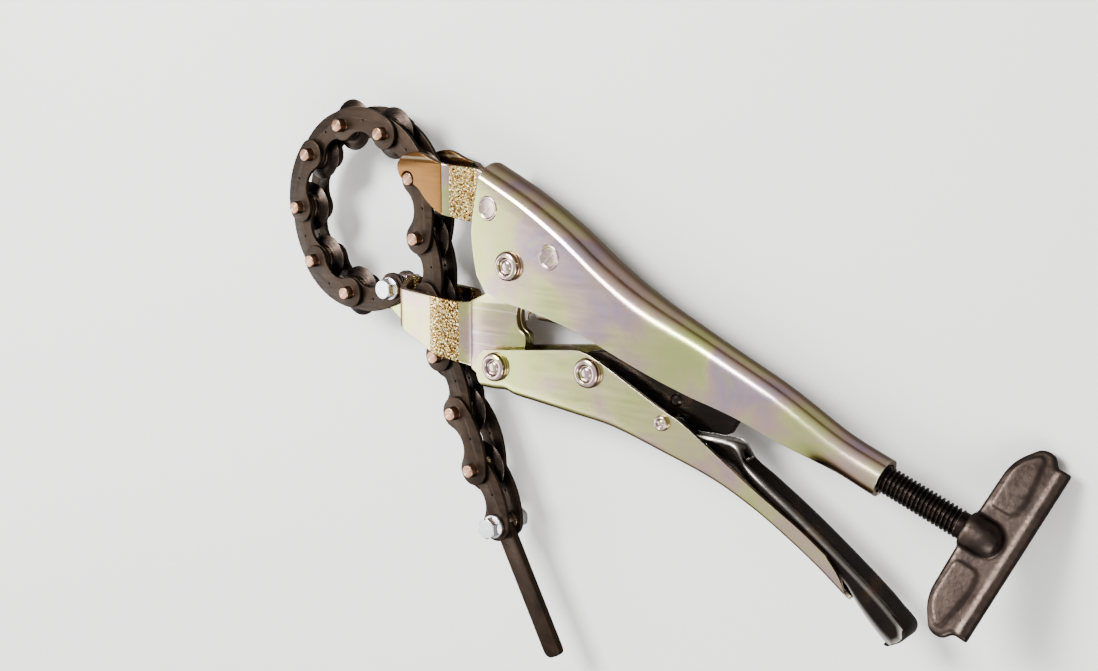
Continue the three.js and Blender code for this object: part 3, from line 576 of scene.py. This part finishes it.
finish(rivet("main pivot rivet", places["main"], rivets["shank"], rivets["head"], rivets["height"], rivets["handleHalf"]),
       "frame", ["main_pivot_rivet"], "rivet_steel", rivetZinc)
finish(rivet("jaw pivot rivet", places["jaw"], rivets["shank"], rivets["head"], rivets["height"], rivets["lowerHalf"]),
       "lower_jaw_body", ["jaw_pivot_rivet"], "rivet_steel", rivetZinc)
finish(rivet("toggle pivot rivet", places["toggle"], rivets["shank"], rivets["head"], rivets["height"], rivets["lowerHalf"]),
       "lower_handle_body", ["toggle_pivot_rivet"], "rivet_steel", rivetZinc)
finish(rivet("lever pivot rivet", places["lever"], 2.2, rivets["leverHead"], 1.4, rivets["lowerHalf"]),
       "lower_handle_body", ["lever_pivot_rivet"], "rivet_steel", rivetZinc)
for number, place in enumerate(places["plugs"], 1):
    end, r = rivets["handleHalf"] + 0.3, rivets["plug"]
    half = [(r - 0.3, end - 1.6), (r, end - 0.5), (r - 0.4, end), (r - 1.1, end - 0.02), (r - 1.4, end - 0.3), (0.02, end - 0.22)]
    plug = turned("flush rivet %d" % number, rounded([(a, -b) for a, b in reversed(half)] + half, 0.2), at(*place), 56, 40)
    finish(plug, "frame", ["jaw_plug_%d" % number], "rivet_steel", rivetZinc)
print("rivets")

# lower handle
lowerHandle = {
    "web": [(-26, -52.6), (-10, -52.6), (-4.1, -52.3), (0.4, -53.6), (10.4, -54.6), (33.2, -57), (50.1, -59), (73.3, -65), (96.6, -71.8),
            (113.7, -79.4), (127.1, -87), (140.2, -95.4), (149, -101.9), (156, -107)],
    "topEdge": [(-26, -36.6), (-14.1, -36.3), (10, -33.4), (30.6, -30.8), (36.2, -31), (44.9, -34.2), (60, -41.6), (73, -47.9), (82.8, -52.2),
                (97.5, -61.4), (110.1, -69.4), (122, -76.4), (133.4, -83), (145.2, -91), (156, -98)],
    "halfWidth": 8.2, "corner": 2.4, "sheet": 1.5, "cheeksTo": 2.0,
}


def lowerSection(x):
    web, top, half, corner = (smoothAlong(lowerHandle["web"], x), smoothAlong(lowerHandle["topEdge"], x),
                              lowerHandle["halfWidth"], lowerHandle["corner"])
    near = [(top + (web + corner - top) * k / 7, half) for k in range(8)]
    for k in range(1, 5):
        a = math.radians(90 * k / 5)
        near.append((web + corner - corner * math.sin(a), half - corner + corner * math.cos(a)))
    near += [(web, (half - corner) * (1 - k / 3)) for k in range(3)]
    return near + [(web, 0.0)] + [(y, -z) for y, z in reversed(near)]


def lowerFront(y):
    return -19.7 + 6.5 * (1 - math.sqrt(max(0, 1 - ((y + 44.6) / 8.6) ** 2)))


def lowerRear(y):
    t = min(1, max(-1, (y + 96.4) / 6))
    return 148.6 - (y + 96.4) * 0.62 - 1.2 * t * t


lowerShell = sheetShell("lower handle", lowerSection, lowerFront, lowerRear, 120, lowerHandle["sheet"], 28)
inner = lowerHandle["halfWidth"] - lowerHandle["sheet"]
gapBox = plate("cheek gap", [[(-40, -75), (lowerHandle["cheeksTo"], -75), (lowerHandle["cheeksTo"], -20), (-40, -20)]], -inner - 0.05, inner + 0.05, 0.05)
carve(lowerShell, gapBox, sharp=28)
finish(lowerShell, "lower_handle_body", ["lower_handle"], "yellow_zinc", yellowZinc)
print("lower handle")

# toggle link and release lever
toggle = {"half": 2.25, "edge": 0.5, "boss": (76.2, -45)}
x, y = places["toggle"]
toggleOutline = outline([
    (x - 7.6, y + 7, 6), (x - 7.6, y - 7.6, 6), (x + 10, y - 8.2, 6), (69, -49.8, 3), (79, -50.2, 3), (86, -54.6, 3), (99, -55, 1),
    (102.2, -49.6), (107.4, -40.2), (109, -37.2, 1), (96, -33.4, 5), (60, -31.2, 8), (x + 6, y + 8.2, 5)])
toggleLink = plate("toggle link", [toggleOutline], -toggle["half"], toggle["half"], toggle["edge"])
boss = [(0.02, 3.4), (1.5, 3.3), (2.4, 2.6), (2.6, 2.0)]
bossPiece = turned("toggle boss", [(r, -z) for r, z in boss] + [(r, z) for r, z in reversed(boss)], at(*toggle["boss"]), 24)
toggleLink = joined("toggle link", toggleLink, bossPiece)
finish(toggleLink, "toggle_body", ["toggle_link"], "black_steel", blackOxide)

releaseLever = {
    "top": [(60, -56.6), (66, -56.5), (86, -55.9), (98, -56), (104, -57.4), (107.5, -62.6), (116, -68.4), (126, -74.8), (137, -82.2), (155, -95.2),
            (164, -102.2), (168.4, -106.2), (173.4, -111)],
    "foot": [(60, -58.4), (66, -58.8), (86, -61), (104, -67.2), (116, -75.2), (137, -89.2), (150, -98.4), (156, -106), (162, -112.4),
             (167, -116.6), (173.4, -119)],
    "halfWidth": [(66, 3.3), (100, 3.8), (116, 5.9), (173.4, 6.1)], "sheet": 1.3, "round": 2.2,
    "noseTo": 173.3,
}


def leverSection(x):
    top, foot, half = (smoothAlong(releaseLever[key], x) for key in ("top", "foot", "halfWidth"))
    corner = min(releaseLever["round"], (top - foot) * 0.45)
    near = [(foot + (top - corner - foot) * k / 5, half) for k in range(6)]
    for k in range(1, 5):
        a = math.radians(90 * k / 5)
        near.append((top - corner + corner * math.sin(a), half - corner + corner * math.cos(a)))
    near += [(top, (half - corner) * (1 - k / 3)) for k in range(3)]
    return near + [(top, 0.0)] + [(y, -z) for y, z in reversed(near)]


leverShell = sheetShell("release lever", leverSection, lambda y: 67.0, lambda y: releaseLever["noseTo"] - 1.2, 90,
                        releaseLever["sheet"], 28)
trim = plate("lever side", [outline([
    (60, -50), (60, -62), (100, -74), (150, -110.5), (157, -115.4, 4), (166.4, -117.9, 2), (172.1, -114.5, 3),
    (172.8, -110.6, 3), (169.8, -106.2, 4), (163, -98), (140, -76), (104, -52)])], -7, 7, 0.05)
carve(leverShell, trim, "INTERSECT", sharp=28)
slotHalf = toggle["half"] + 0.6
slotCutter = plate("link slot", [[(50, -57), (106, -69), (112, -40), (50, -40)]], -slotHalf, slotHalf, 0.05)
carve(leverShell, slotCutter, sharp=28)
ears = []
for side in (1, -1):
    ear = plate("ear", [outline([(67.5, -50.4, 3), (67.5, -58.2, 1), (84, -61, 1), (82, -51, 3)])], 1.9, 3.3, 0.2)
    if side < 0:
        for v in ear.data.vertices:
            v.co.z = 2 * pivotCentre.z - v.co.z
        ear.data.flip_normals()
    ears.append(ear)
for ear in ears:
    for v in ear.data.vertices:
        v.co.z += (0.9 if v.co.z > pivotCentre.z else -0.9) * millimetre
nose = plate("lever nose", [outline([
    (167, -105.4), (170.2, -107.8, 3), (173.3, -110.8, 3), (172.5, -114.9, 3), (166.8, -118.2, 2), (165.2, -117.9, 0.6),
    (165.8, -116.6, 1), (170.4, -114, 2), (171.1, -111.4, 2), (168.6, -108.6, 2), (166, -106.4)])], -5.5, 5.5, 0.5)
# the lever's folded sheet carries the painted highlight on its bends
leverShell.data.materials.clear()
leverShell.data.materials.append(oxideWithPaintedBendHighlight)
for part in (nose, *ears):
    part.data.materials.append(blackOxide)
leverPiece = joined("release lever", leverShell, nose, *ears)
leverPiece.data.shade_smooth()
leverPiece.data.set_sharp_from_angle(angle=math.radians(28))
finish(leverPiece, "release_lever_body", ["release_lever"], "black_steel")
print("toggle link and release lever")

# adjusting screw
thread = {"from": -4.0, "to": 29.0, "perTurn": 36, "neck": 4.7}


def threadMesh(name):
    # one strip of root and crest points wound along the screw, with a plain shank in front
    r, depth, pitch, per = screw["radius"], screw["depth"], screw["pitch"], thread["perTurn"]
    shape = [(0.0, r - depth), (0.12, r - depth), (0.44, r), (0.56, r), (0.88, r - depth)]
    turns = (thread["to"] - thread["from"]) / pitch
    count = int(turns * per)
    verts, faces = [], []
    for i in range(count + 1):
        a = 2 * math.pi * i / per
        s = thread["from"] + pitch * i / per
        for place, radius in shape:
            verts.append((s + pitch * place, radius * math.cos(a), radius * math.sin(a)))
    n = len(shape)
    for i in range(count):
        for k in range(n - 1):
            a = i * n + k
            faces.append((a, a + 1, a + n + 1, a + n))
        if i + per <= count:
            a, b = i * n + n - 1, (i + per) * n
            faces.append((a, b, b + n, a + n) if i + per + 1 <= count else (a, b, a + n))
    return verts, faces


verts, faces = threadMesh("thread")
threadPiece = solid("thread", verts, faces, alongScrew, 60)
core = turned("screw core", rounded([(0.02, -screw["nose"] + 8.3), (4.2, -screw["nose"] + 8.3), (4.8, -screw["nose"] + 9), (4.8, -4), (3.98, -3), (3.98, 28.6),
                                     (thread["neck"], 28.8), (thread["neck"], 31.6), (0.02, 31.6)], 0.25), screwLathe, 48, 40)
screwPiece = joined("adjusting screw", threadPiece, core)
finish(screwPiece, "screw_body", ["adjusting_screw"], "screw_steel", screwSteel)
nose = turned("screw nose", rounded([(0.02, -screw["nose"]), (2.2, -screw["nose"]), (3.6, -screw["nose"] + 1.4), (3.6, -screw["nose"] + 8), (0.02, -screw["nose"] + 8)], 0.4),
              screwLathe, 40, 40)
finish(nose, "screw_nose_body", ["screw_nose"], "screw_steel", screwSteel)
print("adjusting screw")

# T-handle, one smooth forging
tee = {"near": 32.1, "width": 19.0, "half": 35.4, "thick": 4.8, "tilt": -27, "boss": 6.9, "bead": 2.75, "panel": 0.5, "grain": 0.36}
tilted = alongScrew @ Matrix.Rotation(math.radians(tee["tilt"]), 4, "X")
near, far, half = tee["near"], tee["near"] + tee["width"], tee["half"]
wing = plate("wing", [outline([
    (near + 0.6, -half + 9, 7), (near + 7, -half, 6), (far - 7, -half, 4), (far - 4.8, -half + 3.8, 2.4), (far, -half + 3.2, 0.6), (far, half - 3.2, 0.6),
    (far - 4.8, half - 3.8, 2.4), (far - 7, half, 4), (near + 7, half, 6), (near + 0.6, half - 9, 7), (near, 0, 8)])],
    -tee["thick"] / 2, tee["thick"] / 2, 1.5, tilted)
bead = turned("bead", rounded([(0.02, -half + 3.4), (tee["bead"], -half + 3.4), (tee["bead"], half - 3.4), (0.02, half - 3.4)], 1.6, 5),
              tilted @ Matrix.Translation((far - tee["bead"], 0, 0)) @ Matrix.Rotation(math.radians(90), 4, "X"), 32)
bossEnd = screw["tee"]
hub = turned("hub", rounded([(0.02, bossEnd), (tee["boss"] - 0.9, bossEnd), (tee["boss"], bossEnd + 1.2), (tee["boss"], bossEnd + 8.4),
                             (tee["boss"] * 0.82, bossEnd + 11.8), (tee["boss"] * 0.42, bossEnd + 13.8), (0.02, bossEnd + 14.2)], 1.2, 4),
             tilted @ Matrix.Rotation(math.radians(90), 4, "Y"), 48)
panels = []
for side in (1, -1):
    panels.append(plate("panel", [outline([
        (near + 2.4, side * 10.5, 2), (near + 2.4, side * (half - 9), 6), (near + 8, side * (half - 2.6), 5),
        (far - 9, side * (half - 3.4), 4), (far - 7, side * 17, 2), (near + 11, side * 10.5, 2)])],
        -tee["thick"] / 2 - tee["panel"], tee["thick"] / 2 + tee["panel"], 0.4, tilted))
forging = joined("T-handle", wing, bead, hub, *panels)
remesh = forging.modifiers.new("one skin", "REMESH")
remesh.mode, remesh.voxel_size = "VOXEL", tee["grain"] * millimetre
soften = forging.modifiers.new("soften", "SMOOTH")
soften.factor, soften.iterations = 0.5, 16
bpy.context.view_layer.update()
baked(forging, 60)
finish(forging, "screw_body", ["t_handle"], "forged_steel", forgedSteel)
print("T-handle")


# node groups for what repeats
def newGroup(name, inputs):
    group = bpy.data.node_groups.new(name, "GeometryNodeTree")
    group.interface.new_socket("Geometry", in_out="OUTPUT", socket_type="NodeSocketGeometry")
    for label, kind in inputs:
        group.interface.new_socket(label, in_out="INPUT", socket_type="NodeSocket" + kind)
    return group, addNode(group, "NodeGroupInput"), addNode(group, "NodeGroupOutput")


def runGroup(name, group, values, sharp=32):
    holder = link(bpy.data.objects.new(name, bpy.data.meshes.new(name)))
    modifier = holder.modifiers.new("build", "NODES")
    modifier.node_group = group
    for item in group.interface.items_tree:
        if item.in_out == "INPUT" and item.name in values:
            modifier[item.identifier] = values[item.name]
    bpy.context.view_layer.update()
    return baked(holder, sharp)


def linkGroup():
    # two plates and two barrels, turned and moved to their place on the chain
    group, start, end = newGroup("chain link", [
        ("Plate", "Object"), ("Barrel", "Object"), ("Plate gap", "Float"), ("Pitch", "Float"), ("Turn", "Float"),
        ("Place", "Vector"), ("Plate finish", "Material"), ("Barrel finish", "Material")])
    half = addNode(group, "ShaderNodeMath", {"operation": "MULTIPLY"}, {1: -0.5}, {0: (start, "Plate gap")})
    low = addNode(group, "ShaderNodeCombineXYZ", feeds={"Z": (half, 0)})
    across = addNode(group, "ShaderNodeCombineXYZ", feeds={"Z": (start, "Plate gap")})
    along = addNode(group, "ShaderNodeCombineXYZ", feeds={"X": (start, "Pitch")})
    turn = addNode(group, "ShaderNodeCombineXYZ", feeds={"Z": (start, "Turn")})
    bundles = []
    for source, finishName, first, step in (("Plate", "Plate finish", low, across), ("Barrel", "Barrel finish", None, along)):
        line = addNode(group, "GeometryNodeMeshLine", {"mode": "OFFSET"}, {"Count": 2},
                       {"Offset": (step, 0), **({"Start Location": (first, 0)} if first else {})})
        info = addNode(group, "GeometryNodeObjectInfo", feeds={"Object": (start, source)})
        copies = addNode(group, "GeometryNodeInstanceOnPoints", feeds={"Points": (line, "Mesh"), "Instance": (info, "Geometry")})
        real = addNode(group, "GeometryNodeRealizeInstances", feeds={"Geometry": (copies, "Instances")})
        bundles.append(addNode(group, "GeometryNodeSetMaterial", feeds={"Geometry": (real, 0), "Material": (start, finishName)}))
    both = addNode(group, "GeometryNodeJoinGeometry")
    for bundle in bundles:
        group.links.new(bundle.outputs[0], both.inputs[0])
    placed = addNode(group, "GeometryNodeTransform", feeds={"Geometry": (both, 0), "Translation": (start, "Place"), "Rotation": (turn, 0)})
    group.links.new(placed.outputs[0], end.inputs[0])
    return group


def linkPlateLoop(steps=14):
    # both long edges are arcs that run into the round ends
    half, end, crest, hollow = chain["pitch"] / 2, chain["end"], chain["crest"], chain["hollow"]
    crestCentre = (half * half - (crest - end) ** 2) / (2 * (end - crest))
    crestRadius = crest - crestCentre
    reach = end - hollow
    hollowCentre = (reach ** 2 - half * half) / (2 * reach)
    hollowRadius = -hollow - hollowCentre
    crestTurn, hollowTurn = math.atan2(half, -crestCentre), math.atan2(-hollowCentre, half)
    loop = []

    def arc(cx, cy, r, a0, a1, n):
        for k in range(n):
            a = a0 + (a1 - a0) * k / n
            loop.append((cx + r * math.cos(a), cy + r * math.sin(a)))
    arc(half, crestCentre, crestRadius, math.pi / 2 + crestTurn, math.pi / 2 - crestTurn, steps)
    arc(2 * half, 0, end, math.pi / 2 - crestTurn, hollowTurn - math.pi, steps)
    arc(half, hollowCentre, hollowRadius, hollowTurn, math.pi - hollowTurn, steps)
    arc(0, 0, end, -hollowTurn, crestTurn + math.pi / 2 - 2 * math.pi, steps)
    return loop


bare = Matrix.Scale(millimetre, 4)
linkLoop = linkPlateLoop()
dot = ring((chain["pitch"] / 2, 4.0), 0.45, 12)
innerPlate = plate("inner plate", [linkLoop, dot, ring((0, 0), chain["pin"] + 0.25, 28), ring((chain["pitch"], 0), chain["pin"] + 0.25, 28)],
                   -chain["sheet"] / 2, chain["sheet"] / 2, 0.22, bare)
outerPlate = plate("outer plate", [linkLoop, dot], -chain["sheet"] / 2, chain["sheet"] / 2, 0.22, bare)
pinHalf, pinRadius = chain["pinHalf"], chain["pin"]
pinShape = turned("pin", rounded([(0.02, -pinHalf), (pinRadius - 0.35, -pinHalf), (pinRadius, -pinHalf + 0.5), (pinRadius, pinHalf - 0.5),
                                  (pinRadius - 0.35, pinHalf), (0.02, pinHalf)], 0.18), bare, 40, 40)
bushHalf = chain["innerInside"] + 0.4
bushShape = turned("bush", [(4.3, -bushHalf), (4.3, bushHalf), (3.2, bushHalf), (3.2, -bushHalf), (4.3, -bushHalf)], bare, 32, 40)
innerGap = 2 * chain["innerInside"] + chain["sheet"]
outerGap = innerGap + 2 * (chain["sheet"] + 0.3)
group = linkGroup()
for index in range(len(pins) - 1):
    start, stop = pins[index], pins[index + 1]
    isInner = index % 2 == 0
    place = toFrame @ Vector((start.x, start.y, 0))
    piece = runGroup("chain link %d" % (index + 1), group, {
        "Plate": innerPlate if isInner else outerPlate, "Barrel": bushShape if isInner else pinShape,
        "Plate gap": (innerGap if isInner else outerGap) * millimetre, "Pitch": chain["pitch"] * millimetre,
        "Turn": math.atan2(stop.y - start.y, stop.x - start.x), "Place": place,
        "Plate finish": bronzedSteel, "Barrel finish": pinSteel})
    body = "link_%d_body" % (index + 1)
    finish(piece, body, ["chain_link_%d" % (index + 1)], "chain_steel")
for shape in (innerPlate, outerPlate, pinShape, bushShape):
    bpy.data.objects.remove(shape)
print("chain links")

# cutting wheels
for index in range(1, len(pins) - 1):
    w, r = chain["wheelHalf"], chain["wheel"]
    profile = rounded([(4.6, -w + 0.3), (4.9, -w), (6.4, -w), (6.9, -1.7), (8.2, -1.35), (r - 0.1, -0.12), (r, 0), (r - 0.1, 0.12), (8.2, 1.35), (6.9, 1.7), (6.4, w),
                       (4.9, w), (4.6, w - 0.3)], 0.12, 2)
    wheel = turned("cutting wheel %d" % index, profile + [profile[0]], at(*pins[index]), 72, 25)
    finish(wheel, "wheel_%d_body" % index, ["cutting_wheel_%d" % index], "wheel_steel", wheelSteel)
print("cutting wheels")


# bolts, nuts and the end strip
bolt = {"flats": 8.0, "height": 4.0, "shank": 2.5, "washer": 5.0, "washerThick": 1.7}


def hexHead(name, place, low, high, domed):
    corner = bolt["flats"] / 2 / math.cos(math.pi / 6)
    prism = plate(name, [[(corner * math.cos(math.radians(60 * k + 30)), corner * math.sin(math.radians(60 * k + 30))) for k in range(6)]],
                  low, high, 0.1, at(*place))
    r = bolt["flats"] / 2
    bottom, top = min(low, high), max(low, high)
    if domed:
        profile = [(corner + 1, bottom - 1), (corner + 1, top - 1.2), (r * 0.96, top + 0.02), (0.02, top + 0.02)]
    else:
        profile = [(0.02, bottom - 0.02), (r * 0.96, bottom - 0.02), (corner + 1, bottom + 1.2), (corner + 1, top + 1)]
    return carve(prism, turned("cone", profile, at(*place), 64, 30), "INTERSECT")


def boltAndNut(word, place, body):
    base = chain["innerInside"] + chain["sheet"] + 0.3
    top = base + bolt["washerThick"]
    head = hexHead(word + " head", place, top, top + bolt["height"], True)
    washer = turned("washer", rounded([(0.02, base), (bolt["washer"], base), (bolt["washer"], top), (0.02, top)], 0.3), at(*place), 48, 40)
    tip = -top - 0.3 - bolt["height"] - 1.4
    shank = turned("shank", rounded([(0.02, tip), (bolt["shank"] - 0.5, tip), (bolt["shank"], tip + 0.5), (bolt["shank"], top)], 0.2), at(*place), 36, 40)
    finish(joined(word + " bolt", head, washer, shank), body, [word + "_bolt"], "bright_zinc", brightZinc)
    nut = hexHead(word + " nut", place, -top - 0.3 - bolt["height"], -top, False)
    bore = turned("bore", [(2.7, -20), (2.7, 20)], at(*place), 36)
    carve(nut, bore)
    collar = turned("collar", [(2.7, -base), (bolt["washer"], -base), (bolt["washer"], -top), (2.7, -top), (2.7, -base)], at(*place), 48, 40)
    finish(joined(word + " nut", nut, collar), body, [word + "_nut"], "bright_zinc", brightZinc)


boltAndNut("anchor", pins[0], "lower_jaw_body")
boltAndNut("tail", pins[-1], "link_13_body")

strip = {"length": 60, "width": 8.4, "half": 1.8, "angle": -61.3}
half, length = strip["width"] / 2, strip["length"]
stripLoop = [(half * math.cos(math.radians(a)), half * math.sin(math.radians(a))) for a in range(90, 271, 12)]
stripLoop += outline([(length - 9, -half), (length, -half, 7), (length, half, 4.6), (length - 6, half)], 8)
stripMove = at(*pins[-1]) @ Matrix.Rotation(math.radians(strip["angle"]), 4, "Z")
stripPiece = plate("end strip", [stripLoop, ring((0, 0), 2.8, 28)], -strip["half"], strip["half"], 0.4, stripMove)
finish(stripPiece, "tail_body", ["tail_strip"], "chain_steel", bronzedSteel)
print("bolts and end strip")

# return spring
spring = {"from": (8, -19.4), "to": (60, -21.5), "radius": 2.55, "wire": 0.5, "turns": 46}


def springGroup():
    group, start, end = newGroup("close coil", [
        ("Turns", "Float"), ("Radius", "Float"), ("Wire", "Float"), ("Length", "Float"), ("Finish", "Material")])
    coil = addNode(group, "GeometryNodeCurveSpiral", values={"Resolution": 22},
                   feeds={"Rotations": (start, "Turns"), "Start Radius": (start, "Radius"), "End Radius": (start, "Radius"),
                          "Height": (start, "Length")})
    wire = addNode(group, "GeometryNodeCurvePrimitiveCircle", values={"Resolution": 8}, feeds={"Radius": (start, "Wire")})
    tube = addNode(group, "GeometryNodeCurveToMesh", values={"Fill Caps": True}, feeds={"Curve": (coil, "Curve"), "Profile Curve": (wire, "Curve")})
    done = addNode(group, "GeometryNodeSetMaterial", feeds={"Geometry": (tube, 0), "Material": (start, "Finish")})
    group.links.new(done.outputs[0], end.inputs[0])
    return group


x0, y0 = spring["from"]
x1, y1 = spring["to"]
length = math.hypot(x1 - x0, y1 - y0)
coil = runGroup("coil", springGroup(), {"Turns": spring["turns"], "Radius": spring["radius"] * millimetre, "Wire": spring["wire"] * millimetre,
                                        "Length": length * millimetre, "Finish": springWire}, 60)
coilMove = at(x0, y0) @ Matrix.Rotation(math.atan2(y1 - y0, x1 - x0), 4, "Z") @ Matrix.Rotation(math.radians(90), 4, "Y")
coil.data.transform(coilMove @ Matrix.Scale(1000, 4))
coil.data.update()


def wireHook(name, points):
    curve = bpy.data.curves.new(name, "CURVE")
    curve.dimensions, curve.bevel_depth, curve.bevel_resolution = "3D", spring["wire"] * 1.2, 3
    spline = curve.splines.new("NURBS")
    spline.points.add(len(points) - 1)
    for point, (px, py, pz) in zip(spline.points, points):
        point.co = (px, py, pz, 1)
    spline.use_endpoint_u, spline.order_u, spline.resolution_u = True, 3, 8
    curve.use_fill_caps = True
    holder = link(bpy.data.objects.new(name, curve))
    bpy.context.view_layer.update()
    graph = bpy.context.evaluated_depsgraph_get()
    mesh = bpy.data.meshes.new_from_object(holder.evaluated_get(graph), depsgraph=graph)
    bpy.data.objects.remove(holder)
    made = solid(name, [tuple(v.co) for v in mesh.vertices], [tuple(f.vertices) for f in mesh.polygons], toFrame, 60)
    made.data.materials.append(springWire)
    return made


hooks = [wireHook("front hook", [(x0 + 1, y0 + 2.2, 0), (x0 - 0.6, y0 + 2, 0), (x0 - 2.6, y0 + 0.9, 0), (x0 - 5.4, y0 - 0.2, 0), (x0 - 6.9, y0 - 2, 0), (x0 - 6.5, y0 - 3.6, 0)]),
         wireHook("rear hook", [(x1 - 1, y1 - 2.2, 0), (x1 + 2, y1 - 1, 0), (x1 + 4.6, y1 + 3, 0), (x1 + 4.6, y1 + 6, 0), (x1 + 3.6, y1 + 7.6, 0)])]
springPiece = joined("return spring", coil, *hooks)
finish(springPiece, "frame", ["return_spring"], "spring_steel", springWire)
print("return spring")

# stage, light and camera
stage = {"floor": "#fbfbfa", "paintedReflectionBrown": "#4f3b27", "mirror": 0.85, "reach": 20, "backdrop": "#e6e5e2"}
floorMesh = bpy.data.meshes.new("floor")
reach = stage["reach"]
floorMesh.from_pydata([(-reach, -reach, -0.0004), (reach, -reach, -0.0004), (reach, reach, -0.0004), (-reach, reach, -0.0004)],
                      [], [(0, 1, 2, 3)])
floor = link(bpy.data.objects.new("floor", floorMesh))
floorPaint = bpy.data.materials.new("pale floor")
floorPaint.use_nodes = True
paint = floorPaint.node_tree.nodes["Principled BSDF"]
paint.inputs["Base Color"].default_value = srgb(stage["floor"])
paint.inputs["Roughness"].default_value = 0.9
# pale to the eye; to glossy rays the floor glows a painted brown, so the metal shows a painted brown reflection
seen = addNode(floorPaint.node_tree, "ShaderNodeLightPath")
mirrored = addNode(floorPaint.node_tree, "ShaderNodeMath", {"operation": "MULTIPLY"}, {1: stage["mirror"]}, {0: (seen, "Is Glossy Ray")})
paintedReflectionBrown = addNode(floorPaint.node_tree, "ShaderNodeEmission", values={"Color": srgb(stage["paintedReflectionBrown"]), "Strength": 0.7})
blend = addNode(floorPaint.node_tree, "ShaderNodeMixShader", feeds={0: (mirrored, 0), 1: (paint, "BSDF"), 2: (paintedReflectionBrown, "Emission")})
floorPaint.node_tree.links.new(blend.outputs[0], floorPaint.node_tree.nodes["Material Output"].inputs["Surface"])
floorMesh.materials.append(floorPaint)

world = bpy.data.worlds.new("studio")
bpy.context.scene.world = world
world.use_nodes = True
tree = world.node_tree
tree.nodes.clear()
sky = addNode(tree, "ShaderNodeTexCoord")
split = addNode(tree, "ShaderNodeSeparateXYZ", feeds={"Vector": (sky, "Generated")})
shade = rampNode(tree, split, "Z", [(0.0, "#4a3828"), (0.16, "#77664f"), (0.36, "#cfc8bd"), (0.6, "#f2f0ec"), (1.0, "#ffffff")])
eye = addNode(tree, "ShaderNodeLightPath")
backdrop = addNode(tree, "ShaderNodeMix", {"data_type": "RGBA"}, {7: srgb(stage["backdrop"])}, {0: (eye, "Is Camera Ray"), 6: (shade, "Color")})
back = addNode(tree, "ShaderNodeBackground", values={"Strength": 0.85}, feeds={"Color": (backdrop, 2)})
addNode(tree, "ShaderNodeOutputWorld", feeds={"Surface": (back, 0)})


def softBox(name, place, target, size, power):
    lamp = bpy.data.lights.new(name, "AREA")
    lamp.shape, lamp.size, lamp.size_y, lamp.energy = "RECTANGLE", size[0], size[1], power
    obj = link(bpy.data.objects.new(name, lamp))
    obj.location = place
    obj.rotation_euler = (Vector(target) - Vector(place)).to_track_quat("-Z", "Y").to_euler()


softBox("key", (-0.35, 0.5, 0.9), (0, 0, 0), (0.5, 0.4), 22)
softBox("fill", (0.7, -0.6, 0.8), (0, 0, 0), (0.6, 0.5), 9)
softBox("rim", (-0.9, -0.2, 0.45), (0, 0, 0), (0.5, 0.8), 6)

view = {"place": (356.08, 76.88, 427.88), "turn": (-10.782, 38.762, 0.1), "lens": 45.3}
camera = bpy.data.cameras.new("camera")
camera.lens, camera.sensor_width, camera.clip_start = view["lens"], 36, 0.01
cameraObject = link(bpy.data.objects.new("camera", camera))
cameraObject.location = toFrame @ Vector(view["place"])
cameraObject.rotation_euler = [math.radians(a) for a in view["turn"]]
bpy.context.scene.camera = cameraObject
print("stage and camera")
